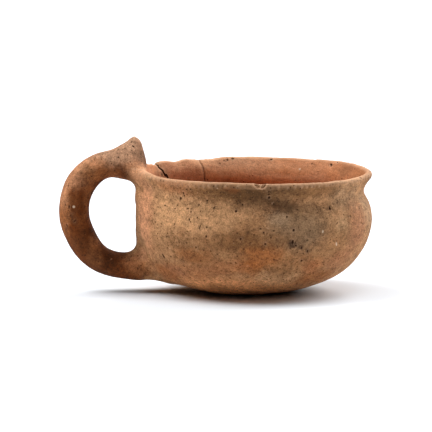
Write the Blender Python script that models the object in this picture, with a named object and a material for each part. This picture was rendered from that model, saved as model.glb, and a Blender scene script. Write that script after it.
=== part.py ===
"""Hand-built Bronze Age dipper cup of fired clay, in metres, +Z up.

A round-bottomed bowl with an everted lip carries one high loop handle, which rises over the rim into a
thumb spur. It was fired as one piece, so it is one object. The origin is where the bowl's axis meets the
small flat that the cup rests on. The handle points along -X.

The bowl is spun, the handle and spur are lofted, and a Boolean joins them. The joined clay is remeshed,
and its points then settle onto the smoothed form of the same named sizes, whose roots flow into the wall
as a potter's thumb leaves them.

Run with: blender --background --python part.py
"""

import math

import bmesh
import bpy
import numpy as np

MM = 0.001

# Bowl, as the outer face's (radius, height) stations from the middle of the underside to the lip.
OUTER_STATIONS = (
    (0.0 * MM, -1.5 * MM),
    (22.0 * MM, 0.3 * MM),
    (42.0 * MM, 5.1 * MM),
    (55.8 * MM, 12.4 * MM),
    (65.7 * MM, 24.8 * MM),
    (70.7 * MM, 37.0 * MM),
    (71.7 * MM, 46.0 * MM),
    (70.0 * MM, 54.4 * MM),
    (66.4 * MM, 61.4 * MM),
    (68.3 * MM, 66.5 * MM),
    (71.4 * MM, 70.6 * MM),
)
# Wall thickness, as (share of the way from the base's middle to the lip, thickness).
WALL_STATIONS = ((0.0, 7.5 * MM), (0.45, 5.4 * MM), (0.8, 5.0 * MM), (1.0, 4.4 * MM))
SPAN_STEPS = 40
PROFILE_STEPS = 48
LIP_STEPS = 5
SPIN_STEPS = 96
WELD = 0.01 * MM

# Unevenness of a bowl that was pinched up by hand.
BASE_SHIFT = 4.0 * MM  # the underside sags towards the handle
BELLY_HEIGHT = 46.0 * MM
OVALNESS = 0.006
OVAL_TURN = math.radians(35)
NECK_HEIGHT = 62.0 * MM
NECK_SPREAD = 7.5 * MM
NECK_FILL = 2.8 * MM  # the waist fades out towards the handle
NECK_FADES = (math.radians(85), math.radians(135))  # from and to, as turns from the side across the handle
RIM_HEIGHT = 73.0 * MM
RIM_MOVES_ABOVE = 36.0 * MM
RIM_RISE_AT_HANDLE = 2.2 * MM
RIM_RISE_WIDTH = math.radians(24)
RIM_TILT = 0.7 * MM
RIM_WAVES = ((2, 0.35 * MM, 0.6), (3, 0.25 * MM, 2.1), (5, 0.18 * MM, 4.0))  # lobes, height, turn

# Strap, as (x, z, half thickness, half width) in the plane y = 0, from the lower root to the upper one.
STRAP_STATIONS = (
    (-52.0 * MM, 13.5 * MM, 6.0 * MM, 13.5 * MM),
    (-60.0 * MM, 15.0 * MM, 7.8 * MM, 13.5 * MM),
    (-68.5 * MM, 16.0 * MM, 9.3 * MM, 12.8 * MM),
    (-77.5 * MM, 15.5 * MM, 8.1 * MM, 11.2 * MM),
    (-86.3 * MM, 16.8 * MM, 7.8 * MM, 10.5 * MM),
    (-94.5 * MM, 20.3 * MM, 8.2 * MM, 10.3 * MM),
    (-102.5 * MM, 29.0 * MM, 8.8 * MM, 10.3 * MM),
    (-108.6 * MM, 43.5 * MM, 9.1 * MM, 10.4 * MM),
    (-108.3 * MM, 57.0 * MM, 9.1 * MM, 10.6 * MM),
    (-103.5 * MM, 67.8 * MM, 8.9 * MM, 10.8 * MM),
    (-95.0 * MM, 75.3 * MM, 8.3 * MM, 11.0 * MM),
    (-85.5 * MM, 78.0 * MM, 8.0 * MM, 11.4 * MM),
    (-76.5 * MM, 76.4 * MM, 8.0 * MM, 12.2 * MM),
    (-70.4 * MM, 70.2 * MM, 5.4 * MM, 12.6 * MM),
    (-66.8 * MM, 59.5 * MM, 4.2 * MM, 11.0 * MM),
)
# Thumb spur on the upper root, as (x, z, half length, half width) from its foot to its tip.
SPUR_STATIONS = (
    (-75.6 * MM, 79.5 * MM, 8.8 * MM, 10.5 * MM),
    (-74.2 * MM, 84.5 * MM, 7.6 * MM, 9.2 * MM),
    (-72.9 * MM, 88.2 * MM, 6.0 * MM, 7.2 * MM),
    (-72.1 * MM, 91.1 * MM, 4.1 * MM, 5.2 * MM),
)
STRAP_STEPS = 40
SPUR_STEPS = 12
# Above the lip the roots stop at this line, as (radius, height), so the mouth stays open.
MOUTH_LINE = ((67.5 * MM, 75.0 * MM), (63.5 * MM, 78.0 * MM), (62.5 * MM, 120.0 * MM))

# How softly the pieces of clay flow into each other.
ROOT_BLEND = 9.0 * MM
SPUR_BLEND = 8.0 * MM
MOUTH_BLEND = 2.0 * MM

# Core lofts that the remesh starts from, a little slimmer than the finished strap and spur.
CORE_SHARE = 0.88
CORE_SIDES = 20

VOXEL = 1.6 * MM
SETTLING_ROUNDS = 6
EVENING = 0.5
LONGEST_MOVE = 1.2 * MM
SLOPE_STEP = 0.05 * MM
LEAST_STEEPNESS = 0.1
TRIANGLES = 9000
GROUND_BLOCK = 0.4

CLAY_COLOUR = (0.47, 0.21, 0.10, 1.0)
CLAY_ROUGHNESS = 0.85


def clear_scene():
    """Removes every object that the scene starts with."""
    for thing in list(bpy.data.objects):
        bpy.data.objects.remove(thing)


# ---------------------------------------------------------------- lines through stations


def smooth_line(stations, steps):
    """Rows along the Catmull-Rom curve through the stations, evenly spaced in the first two columns."""
    rows = np.array(stations)
    rows = np.vstack([2 * rows[0] - rows[1], rows, 2 * rows[-1] - rows[-2]])
    t = np.linspace(0, 1, SPAN_STEPS, endpoint=False)[:, None]
    spans = [
        0.5 * (2 * b + (c - a) * t + (2 * a - 5 * b + 4 * c - d) * t**2 + (3 * b - a - 3 * c + d) * t**3)
        for a, b, c, d in zip(rows, rows[1:], rows[2:], rows[3:])
    ]
    dense = np.vstack([*spans, rows[-2]])
    reach = np.concatenate([[0], np.cumsum(np.hypot(*np.diff(dense[:, :2], axis=0).T))])
    at = np.linspace(0, reach[-1], steps + 1)
    return np.column_stack([np.interp(at, reach, column) for column in dense.T])


def wall_lines():
    """The wall's outer face and middle line as (radius, height) rows, the way inwards and the thickness."""
    outer = smooth_line(OUTER_STATIONS, PROFILE_STEPS)
    share = np.linspace(0, 1, PROFILE_STEPS + 1)
    wall = np.interp(share, *np.array(WALL_STATIONS).T)
    along = np.gradient(outer, axis=0)
    along[0] = (1.0, 0.0)
    inward = np.column_stack([-along[:, 1], along[:, 0]]) / np.hypot(*along.T)[:, None]
    return outer, outer + inward * wall[:, None] / 2, inward, wall


# ---------------------------------------------------------------- the smoothed form


def nearest_on_line(points, line):
    """For points in a plane: the distance to a line, its nearest place in rows, and the side, + for left."""
    best = np.full(len(points), np.inf)
    place = np.zeros(len(points))
    side = np.ones(len(points))
    for i, (start, end) in enumerate(zip(line, line[1:])):
        along = end - start
        offset = points - start
        t = np.clip(offset @ along / (along @ along), 0, 1)
        away = np.hypot(offset[:, 0] - t * along[0], offset[:, 1] - t * along[1])
        nearer = away < best
        best = np.where(nearer, away, best)
        place = np.where(nearer, i + t, place)
        left = along[0] * offset[:, 1] - along[1] * offset[:, 0]
        side = np.where(nearer, np.sign(left), side)
    return best, place, side


def blended(a, b, softness):
    """The distance to two shapes joined with a soft fillet."""
    near = np.clip(softness - np.abs(a - b), 0, None) / softness
    return np.minimum(a, b) - near * near * softness / 4


def eased(value):
    """0 below 0, 1 above 1, and smooth between."""
    t = np.clip(value, 0, 1)
    return t * t * (3 - 2 * t)


def rim_lift(around):
    """How far the hand-built rim stands above the true one at an angle."""
    off_handle = np.abs(np.abs(around) - math.pi)
    lift = RIM_RISE_AT_HANDLE * np.exp(-((off_handle / RIM_RISE_WIDTH) ** 2)) - RIM_TILT * np.cos(around)
    return lift + sum(height * np.cos(lobes * around - turn) for lobes, height, turn in RIM_WAVES)


def pinching(points):
    """What the hand did to each point: the shift along x, the share of growth outwards and the lift."""
    around = np.arctan2(points[:, 1], points[:, 0])
    shift = -BASE_SHIFT * eased(1 - points[:, 2] / BELLY_HEIGHT) ** 2
    fade = eased((np.abs(around) - NECK_FADES[0]) / (NECK_FADES[1] - NECK_FADES[0]))
    waist = np.exp(-(((points[:, 2] - NECK_HEIGHT) / NECK_SPREAD) ** 2))
    growth = OVALNESS * np.cos(2 * (around - OVAL_TURN)) + fade * waist * NECK_FILL / OUTER_STATIONS[-1][0]
    high = eased((points[:, 2] - RIM_MOVES_ABOVE) / (RIM_HEIGHT - RIM_MOVES_ABOVE))
    return shift, growth, rim_lift(around) * high


def bowl_section(points):
    """The (radius, height) of each point in the true turned bowl that the hand-built one came from."""
    shift, growth, lift = pinching(points)
    radius = np.hypot(points[:, 0] - shift, points[:, 1]) / (1 + growth)
    return np.column_stack([radius, points[:, 2] - lift])


def swept_distance(points, rows):
    """The distance to an oval swept along rows of (x, z, half thickness, half width) in the plane y = 0."""
    away, place, _ = nearest_on_line(points[:, [0, 2]], rows[:, :2])
    at = np.arange(len(rows))
    thick = np.interp(place, at, rows[:, 2])
    wide = np.interp(place, at, rows[:, 3])
    return np.hypot(away, points[:, 1] * thick / wide) - thick


class Form:
    """The cup's smoothed form, as a distance that is negative inside the clay."""

    def __init__(self):
        _, self.middle, _, self.wall = wall_lines()
        self.mouth = np.vstack([self.middle, MOUTH_LINE])
        self.strap = smooth_line(STRAP_STATIONS, STRAP_STEPS)
        self.spur = smooth_line(SPUR_STATIONS, SPUR_STEPS)

    def distance(self, points):
        """Distance from each point to the clay's surface."""
        section = bowl_section(points)
        away, place, _ = nearest_on_line(section, self.middle)
        bowl = away - np.interp(place, np.arange(len(self.wall)), self.wall) / 2
        handle = blended(swept_distance(points, self.strap), swept_distance(points, self.spur), SPUR_BLEND)
        depth, _, side = nearest_on_line(section, self.mouth)
        handle = -blended(-handle, -depth * side, MOUTH_BLEND)
        return blended(bowl, handle, ROOT_BLEND)

    def settled(self, points):
        """The points moved straight towards the surface, by no more than the longest move."""
        corners = np.array([(1, -1, -1), (-1, -1, 1), (-1, 1, -1), (1, 1, 1)]) * SLOPE_STEP
        values = [self.distance(points + corner) for corner in corners]
        slope = sum(value[:, None] * corner for value, corner in zip(values, corners)) / (4 * SLOPE_STEP**2)
        steepness = np.maximum((slope**2).sum(1), LEAST_STEEPNESS)
        move = -slope * (sum(values) / 4 / steepness)[:, None]
        length = np.linalg.norm(move, axis=1)
        return points + move * np.minimum(1, LONGEST_MOVE / np.maximum(length, SLOPE_STEP))[:, None]


# ---------------------------------------------------------------- clay before it is smoothed


def mesh_object(name, form):
    """A scene object that holds the bmesh, with its normals facing out."""
    bmesh.ops.recalc_face_normals(form, faces=form.faces)
    mesh = bpy.data.meshes.new(name)
    form.to_mesh(mesh)
    form.free()
    made = bpy.data.objects.new(name, mesh)
    bpy.context.scene.collection.objects.link(made)
    return made


def helper(made):
    """Marks an object as one that only shapes another."""
    made.hide_render = True
    made.display_type = "WIRE"
    return made


def make_bowl():
    """Spins the wall's section round the bowl's axis, then pinches it out of true."""
    outer, _, inward, wall = wall_lines()
    inner = (outer + inward * wall[:, None])[::-1]
    inner[-1, 0] = 0
    turns = np.linspace(0, math.pi, LIP_STEPS + 2)[1:-1, None]
    upward = np.array([inward[-1, 1], -inward[-1, 0]])
    lip = outer[-1] + wall[-1] / 2 * (inward[-1] * (1 - np.cos(turns)) + upward * np.sin(turns))
    form = bmesh.new()
    profile = [form.verts.new((radius, 0.0, height)) for radius, height in np.vstack([outer, lip, inner])]
    edges = [form.edges.new(pair) for pair in zip(profile, profile[1:])]
    bmesh.ops.spin(
        form, geom=profile + edges, axis=(0, 0, 1), cent=(0, 0, 0),
        angle=math.tau, steps=SPIN_STEPS, use_merge=True,
    )
    bmesh.ops.remove_doubles(form, verts=form.verts, dist=WELD)
    shift, growth, lift = pinching(np.array([vert.co for vert in form.verts]))
    for i, vert in enumerate(form.verts):
        vert.co.x = vert.co.x * (1 + growth[i]) + shift[i]
        vert.co.y *= 1 + growth[i]
        vert.co.z += lift[i]
    return helper(mesh_object("bowl", form))


def make_core(name, rows):
    """A slim closed loft along rows of (x, z, half thickness, half width)."""
    along = np.gradient(rows[:, :2], axis=0)
    across = np.column_stack([-along[:, 1], along[:, 0]]) / np.hypot(*along.T)[:, None]
    form = bmesh.new()
    loops = []
    for (x, z, thick, wide), (out_x, out_z) in zip(rows, across):
        ring = []
        for side in range(CORE_SIDES):
            turn = math.tau * side / CORE_SIDES
            out = CORE_SHARE * thick * math.cos(turn)
            y = CORE_SHARE * wide * math.sin(turn)
            ring.append(form.verts.new((x + out * out_x, y, z + out * out_z)))
        loops.append([form.edges.new(pair) for pair in zip(ring, ring[1:] + ring[:1])])
    for below, above in zip(loops, loops[1:]):
        bmesh.ops.bridge_loops(form, edges=below + above)
    bmesh.ops.edgeloop_fill(form, edges=loops[0])
    bmesh.ops.edgeloop_fill(form, edges=loops[-1])
    return helper(mesh_object(name, form))


def boolean(target, other, operation):
    """Adds a Boolean modifier that joins or cuts with another object."""
    modifier = target.modifiers.new(other.name, "BOOLEAN")
    modifier.operation = operation
    modifier.object = other


def joined_clay():
    """The bowl, strap and spur joined and remeshed, as a bmesh."""
    bowl = make_bowl()
    boolean(bowl, make_core("strap_core", smooth_line(STRAP_STATIONS, STRAP_STEPS)), "UNION")
    boolean(bowl, make_core("spur_core", smooth_line(SPUR_STATIONS, SPUR_STEPS)), "UNION")
    remesh = bowl.modifiers.new("remesh", "REMESH")
    remesh.mode = "VOXEL"
    remesh.voxel_size = VOXEL
    graph = bpy.context.evaluated_depsgraph_get()
    form = bmesh.new()
    form.from_object(bowl, graph)
    return form


def make_ground():
    """A block under the cup, whose top is the plane that wears the underside flat."""
    form = bmesh.new()
    bmesh.ops.create_cube(form, size=GROUND_BLOCK)
    bmesh.ops.translate(form, verts=form.verts, vec=(0, 0, -GROUND_BLOCK / 2))
    return helper(mesh_object("ground", form))


def clay_material():
    """Plain fired clay."""
    made = bpy.data.materials.new("fired_clay")
    made.use_nodes = True
    shader = made.node_tree.nodes["Principled BSDF"]
    shader.inputs["Base Color"].default_value = CLAY_COLOUR
    shader.inputs["Roughness"].default_value = CLAY_ROUGHNESS
    shader.inputs["Metallic"].default_value = 0.0
    return made


def make_cup():
    """Settles the joined clay onto the smoothed form, thins its mesh and wears the underside flat."""
    form, surface = joined_clay(), Form()
    for _ in range(SETTLING_ROUNDS):
        bmesh.ops.smooth_vert(
            form, verts=form.verts, factor=EVENING, use_axis_x=True, use_axis_y=True, use_axis_z=True
        )
        places = surface.settled(np.array([vert.co for vert in form.verts]))
        for vert, place in zip(form.verts, places):
            vert.co = place
    squares = len(form.faces)
    cup = mesh_object("dipper_cup", form)
    thin = cup.modifiers.new("thin", "DECIMATE")
    thin.ratio = TRIANGLES / (2 * squares)
    boolean(cup, make_ground(), "DIFFERENCE")
    cup.data.materials.append(clay_material())
    cup.data.shade_smooth()


clear_scene()
make_cup()
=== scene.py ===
"""An ancient hand-built dipper cup of low-fired clay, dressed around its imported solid.

The cup was pinched up by hand, wiped while wet and fired in an open fire. So its skin is uneven, gritty and
clouded, its rim is nibbled, a sherd of the rim has broken out and been put back, and the lip has lost flakes.
Angles round the bowl are in degrees from +X, with the handle at 180 and the front at -90.
"""

import logging
import math
import random
from collections.abc import Callable, Sequence
from dataclasses import dataclass, field
from enum import Enum

import bmesh
import bpy
import numpy as np
from mathutils import Euler, Matrix, Vector, noise
from mathutils.bvhtree import BVHTree


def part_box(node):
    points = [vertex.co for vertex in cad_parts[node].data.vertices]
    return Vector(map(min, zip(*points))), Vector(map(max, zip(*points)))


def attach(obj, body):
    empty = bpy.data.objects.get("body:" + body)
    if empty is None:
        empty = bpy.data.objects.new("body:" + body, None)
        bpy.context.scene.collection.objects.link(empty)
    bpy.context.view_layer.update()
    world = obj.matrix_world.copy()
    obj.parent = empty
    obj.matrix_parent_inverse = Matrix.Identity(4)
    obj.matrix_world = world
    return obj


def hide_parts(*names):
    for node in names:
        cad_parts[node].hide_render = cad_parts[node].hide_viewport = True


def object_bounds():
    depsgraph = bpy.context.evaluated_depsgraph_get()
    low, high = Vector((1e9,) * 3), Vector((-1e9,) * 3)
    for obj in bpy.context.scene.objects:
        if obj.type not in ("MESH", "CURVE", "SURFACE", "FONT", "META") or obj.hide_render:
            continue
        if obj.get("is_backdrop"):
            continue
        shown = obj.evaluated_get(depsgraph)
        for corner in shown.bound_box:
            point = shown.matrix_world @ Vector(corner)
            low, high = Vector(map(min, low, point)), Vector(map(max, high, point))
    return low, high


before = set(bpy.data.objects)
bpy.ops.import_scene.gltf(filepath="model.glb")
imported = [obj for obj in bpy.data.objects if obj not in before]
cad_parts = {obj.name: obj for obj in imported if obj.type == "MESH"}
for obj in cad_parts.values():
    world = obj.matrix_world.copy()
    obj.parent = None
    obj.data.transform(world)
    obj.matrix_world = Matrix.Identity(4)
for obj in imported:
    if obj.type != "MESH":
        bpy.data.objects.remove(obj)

MM = 0.001
CUP_NODE = "dipper_cup"
WALL_RADIUS = 70 * MM  # turns angles round the wall into lengths
WALL_BAND = (50 * MM, 78 * MM)  # the least and the greatest radius of the upright wall
LIP_HEIGHT = 73.2 * MM
BOWL_MIDDLE = (0, 0, 60 * MM)
LOOP_CENTRE = (-84 * MM, 47 * MM)  # the middle of the handle's loop, in x and z
BROKEN = 1  # the material slot of the broken clay

Pair = tuple[float, float]
Triple = tuple[float, float, float]
Array = np.ndarray
Mesh = bpy.types.Mesh
Solid = bmesh.types.BMesh
Node = bpy.types.Node
Socket = bpy.types.NodeSocket
Tree = bpy.types.NodeTree

log = logging.getLogger(CUP_NODE)


class Face(Enum):
    """A side of the bowl's wall."""

    OUTER = "outer"
    INNER = "inner"


class Cut(Enum):
    """How a crack goes into the wall."""

    WEDGE = "a blade from the inside"
    GROOVE = "a dent in the skin"


# ---- numbers over points


def eased(value: Array) -> Array:
    """0 below 0, 1 above 1, and smooth between."""
    t = np.clip(value, 0, 1)
    return t * t * (3 - 2 * t)


def ripples(points: Array, size: float | Triple | Array, turn: float) -> Array:
    """Soft noise over points.

    Args:
        points: Rows of three coordinates.
        size: The length of one ripple, or one length for each coordinate.
        turn: Moves the pattern, so that each use differs.

    Returns:
        One value for each point, from about -1 to 1.
    """
    return np.array([noise.noise(place) for place in points / np.array(size) + turn])


def line_ripples(lengths: Array, size: float, turn: float) -> Array:
    """Soft noise along a line, one value for each length."""
    return ripples(np.column_stack([lengths, lengths * 0, lengths * 0]), size, turn)


def path_distance(points: Array, path: Array) -> Array:
    """The distance of flat points from a path.

    Args:
        points: Rows of two coordinates.
        path: Rows of the path's two coordinates.

    Returns:
        One distance for each point.
    """
    best = np.full(len(points), np.inf)
    for start, end in zip(path[:-1], path[1:]):
        run = end - start
        share = np.clip((points - start) @ run / max(run @ run, 1e-18), 0, 1)
        best = np.minimum(best, np.hypot(*(points - start - share[:, None] * run).T))
    return best


def inside_outline(points: Array, outline: Array) -> Array:
    """Whether flat points lie inside a closed outline.

    Args:
        points: Rows of two coordinates.
        outline: Rows of the outline's corners.

    Returns:
        True for each point inside.
    """
    found = np.zeros(len(points), dtype=bool)
    x, y = points.T
    for (x0, y0), (x1, y1) in zip(outline, np.roll(outline, -1, axis=0)):
        if y0 != y1:
            found ^= ((y0 > y) != (y1 > y)) & (x < (x1 - x0) * (y - y0) / (y1 - y0) + x0)
    return found


def radii(points: Array) -> Array:
    """How far each point is from the bowl's axis."""
    return np.hypot(points[:, 0], points[:, 1])


def bearings(points: Array) -> Array:
    """The azimuth of each point, from -180 to 180 degrees."""
    return np.degrees(np.arctan2(points[:, 1], points[:, 0]))


def on_wall(points: Array) -> Array:
    """Which points lie on the bowl's upright wall."""
    return (radii(points) > WALL_BAND[0]) & (radii(points) < WALL_BAND[1])


def unrolled(points: Array) -> Array:
    """Lays points out flat, with the break at the front.

    Args:
        points: Rows of x, y, z.

    Returns:
        Rows of length round the wall, and height.
    """
    turn = np.mod(np.arctan2(points[:, 1], points[:, 0]), 2 * math.pi)
    turn = np.where(turn > 1.5 * math.pi, turn - 2 * math.pi, turn)
    return np.column_stack([turn * WALL_RADIUS, points[:, 2]])


# ---- meshes


def read_rows(items: bpy.types.bpy_prop_collection, name: str, width: int, kind: type = float) -> Array:
    """Reads one property of each of a mesh's items.

    Args:
        items: The mesh's vertices, edges or the like.
        name: The property.
        width: How many numbers the property has.
        kind: The kind of number.

    Returns:
        A row of numbers for each item.
    """
    values = np.empty(len(items) * width, dtype=kind)
    items.foreach_get(name, values)
    return values.reshape(-1, width)


def mesh_points(mesh: Mesh) -> Array:
    """The places of a mesh's vertices, as rows of x, y, z."""
    return read_rows(mesh.vertices, "co", 3)


def mesh_normals(mesh: Mesh) -> Array:
    """The normals of a mesh's vertices, as rows of x, y, z."""
    return read_rows(mesh.vertex_normals, "vector", 3)


def mesh_edges(mesh: Mesh) -> Array:
    """The two vertices of each edge of a mesh."""
    return read_rows(mesh.edges, "vertices", 2, np.int64)


def move_points(mesh: Mesh, points: Array) -> None:
    """Puts a mesh's vertices at new places."""
    mesh.vertices.foreach_set("co", points.astype(np.float32).ravel())
    mesh.update()


def neighbour_mean(values: Array, edges: Array) -> Array:
    """The mean of each vertex's neighbours.

    Args:
        values: Rows of values, one row for each vertex.
        edges: The two vertices of each edge.

    Returns:
        Rows of means.
    """
    first, second = edges.T
    count = np.maximum(np.bincount(edges.ravel(), minlength=len(values)), 1)
    total = [
        np.bincount(first, column[second], len(values)) + np.bincount(second, column[first], len(values))
        for column in values.T
    ]
    return np.column_stack(total) / count[:, None]


def relaxed(points: Array, edges: Array, rounds: int) -> Array:
    """Smooths points without shrinking the shape.

    Args:
        points: Rows of x, y, z.
        edges: The two vertices of each edge.
        rounds: How many pairs of shrinking and swelling steps.

    Returns:
        The smoothed points.
    """
    for step in (0.5, -0.53) * rounds:
        points = points + step * (neighbour_mean(points, edges) - points)
    return points


def finer(points: Array, triangles: Array, wanted: Callable[[Array], Array]) -> tuple[Array, Array]:
    """Cuts the long edges of a triangle mesh in two.

    Args:
        points: Rows of x, y, z.
        triangles: The three points of each triangle.
        wanted: Gives the edge length that the surface needs at some points.

    Returns:
        The points and the triangles of the finer mesh.
    """
    sides = np.sort(np.stack([triangles, np.roll(triangles, -1, axis=1)], axis=2), axis=2)
    keys, side_number = np.unique(sides[..., 0] * len(points) + sides[..., 1], return_inverse=True)
    ends = points[np.column_stack([keys // len(points), keys % len(points)])]
    middles = ends.mean(axis=1)
    split = np.linalg.norm(ends[:, 0] - ends[:, 1], axis=1) > 1.4 * wanted(middles)
    number = len(points) + np.cumsum(split) - 1
    side_number = side_number.reshape(triangles.shape)
    cut = split[side_number]
    middle = number[side_number]
    code = cut @ np.array([1, 2, 4])
    made = [triangles[code == 0]]
    for turn, (single, double) in enumerate(((1, 3), (2, 6), (4, 5))):
        (a, b, c), (m, _, _) = (np.roll(rows[code == single], -turn, axis=1).T for rows in (triangles, middle))
        made += [np.column_stack([a, m, c]), np.column_stack([m, b, c])]
        (a, b, c), (m, n, _) = (np.roll(rows[code == double], -turn, axis=1).T for rows in (triangles, middle))
        made += [np.column_stack([m, b, n]), np.column_stack([a, m, n]), np.column_stack([a, n, c])]
    (a, b, c), (m, n, o) = triangles[code == 7].T, middle[code == 7].T
    made += [np.column_stack(corners) for corners in ((a, m, o), (m, b, n), (o, n, c), (m, n, o))]
    return np.vstack([points, middles[split]]), np.vstack(made)


def bending(mesh: Mesh) -> Array:
    """How sharply a surface bends.

    Args:
        mesh: The surface.

    Returns:
        The bend at each vertex, per metre: positive on ridges, negative in hollows.
    """
    points, normals, edges = mesh_points(mesh), mesh_normals(mesh), mesh_edges(mesh)
    run = points[edges[:, 1]] - points[edges[:, 0]]
    turn = normals[edges[:, 1]] - normals[edges[:, 0]]
    bend = np.einsum("ij,ij->i", run, turn) / np.maximum(np.einsum("ij,ij->i", run, run), 1e-12)
    count = np.maximum(np.bincount(edges.ravel(), minlength=len(points)), 1)
    total = np.bincount(edges[:, 0], bend, len(points)) + np.bincount(edges[:, 1], bend, len(points))
    return neighbour_mean((total / count)[:, None], edges)[:, 0]


def set_mask(mesh: Mesh, name: str, values: Array) -> None:
    """Stores one value for each vertex as a named attribute that the materials read."""
    attribute = mesh.attributes.new(name, "FLOAT", "POINT")
    attribute.data.foreach_set("value", np.asarray(values, dtype=np.float32))


def triangulate_large(form: Solid) -> None:
    """Splits each face of more than three corners into triangles."""
    bmesh.ops.triangulate(form, faces=[face for face in form.faces if len(face.verts) > 3])


def placed(name: str, data: bpy.types.ID) -> bpy.types.Object:
    """Makes an object that shows a mesh, a lamp or a camera, and links it to the scene.

    Args:
        name: The object's name.
        data: What it shows.

    Returns:
        The object.
    """
    made = bpy.data.objects.new(name, data)
    bpy.context.scene.collection.objects.link(made)
    return made


def bake_modifiers(thing: bpy.types.Object) -> Mesh:
    """Applies an object's modifiers to its own mesh.

    Args:
        thing: The object.

    Returns:
        The new mesh.
    """
    graph = bpy.context.evaluated_depsgraph_get()
    mesh = bpy.data.meshes.new_from_object(thing.evaluated_get(graph))
    thing.modifiers.clear()
    thing.data = mesh
    return mesh


# ---- places on the cup


@dataclass(frozen=True)
class Skin:
    """The cup's smooth surface, which finds places on it."""

    tree: BVHTree
    past_inner: float = 2 * MM  # where the search for the outer face starts, beyond the inner one
    usual_radius: float = 70  # millimetres, where the wall is taken to be above the lip

    def wall(self, azimuth: float, height: float, face: Face) -> tuple[Vector, Vector]:
        """A place on the bowl's wall, on a level line from the bowl's axis.

        Args:
            azimuth: Angle round the bowl's axis, in radians.
            height: Height above the ground.
            face: The inner or the outer face.

        Returns:
            The point, and the normal there.
        """
        out = Vector((math.cos(azimuth), math.sin(azimuth), 0))
        level = Vector((0, 0, height))
        if face is Face.INNER:
            point, normal, _, _ = self.tree.ray_cast(level, out)
        else:
            inner, _, _, _ = self.tree.ray_cast(level, out)
            point, normal, _, _ = self.tree.ray_cast((inner or level) + out * self.past_inner, out)
        if point is None:
            point, normal = level + out * self.usual_radius * MM, out
        return point, normal

    def nearest(self, place: Vector) -> tuple[Vector, Vector]:
        """The point of the surface nearest to a place, and its normal."""
        point, normal, _, _ = self.tree.find_nearest(place)
        return point, normal


@dataclass(frozen=True)
class BowlSpot:
    """A place on the bowl's wall."""

    azimuth: float  # degrees
    height: float  # millimetres
    face: Face = Face.OUTER

    def find(self, skin: Skin) -> tuple[Vector, Vector]:
        """The point on the skin, and its normal."""
        return skin.wall(math.radians(self.azimuth), self.height * MM, self.face)


@dataclass(frozen=True)
class HandleSpot:
    """A place on the handle: the skin nearest to a point in millimetres."""

    x: float
    y: float
    z: float

    def find(self, skin: Skin) -> tuple[Vector, Vector]:
        """The point on the skin, and its normal."""
        return skin.nearest(Vector((self.x, self.y, self.z)) * MM)


Spot = BowlSpot | HandleSpot


# ---- damage


@dataclass(frozen=True)
class Pit:
    """A hole that a burnt-out straw or a lost grit left in the skin, or a grit that stands proud."""

    spot: Spot
    radius: float = 0.5 * MM
    depth: float = 0.6 * MM
    length: float = 1.2  # times the radius
    turn: float = 0.6


@dataclass(frozen=True)
class HandPush:
    """Where a hand pressed the soft clay, in mm."""

    centre: Triple
    reach: float
    push: Triple

    def moves(self, points: Array) -> Array:
        """How far the push moves each point, in metres."""
        near = eased(1 - np.linalg.norm(points - np.array(self.centre) * MM, axis=1) / (self.reach * MM))
        return near[:, None] * np.array(self.push) * MM


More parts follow.
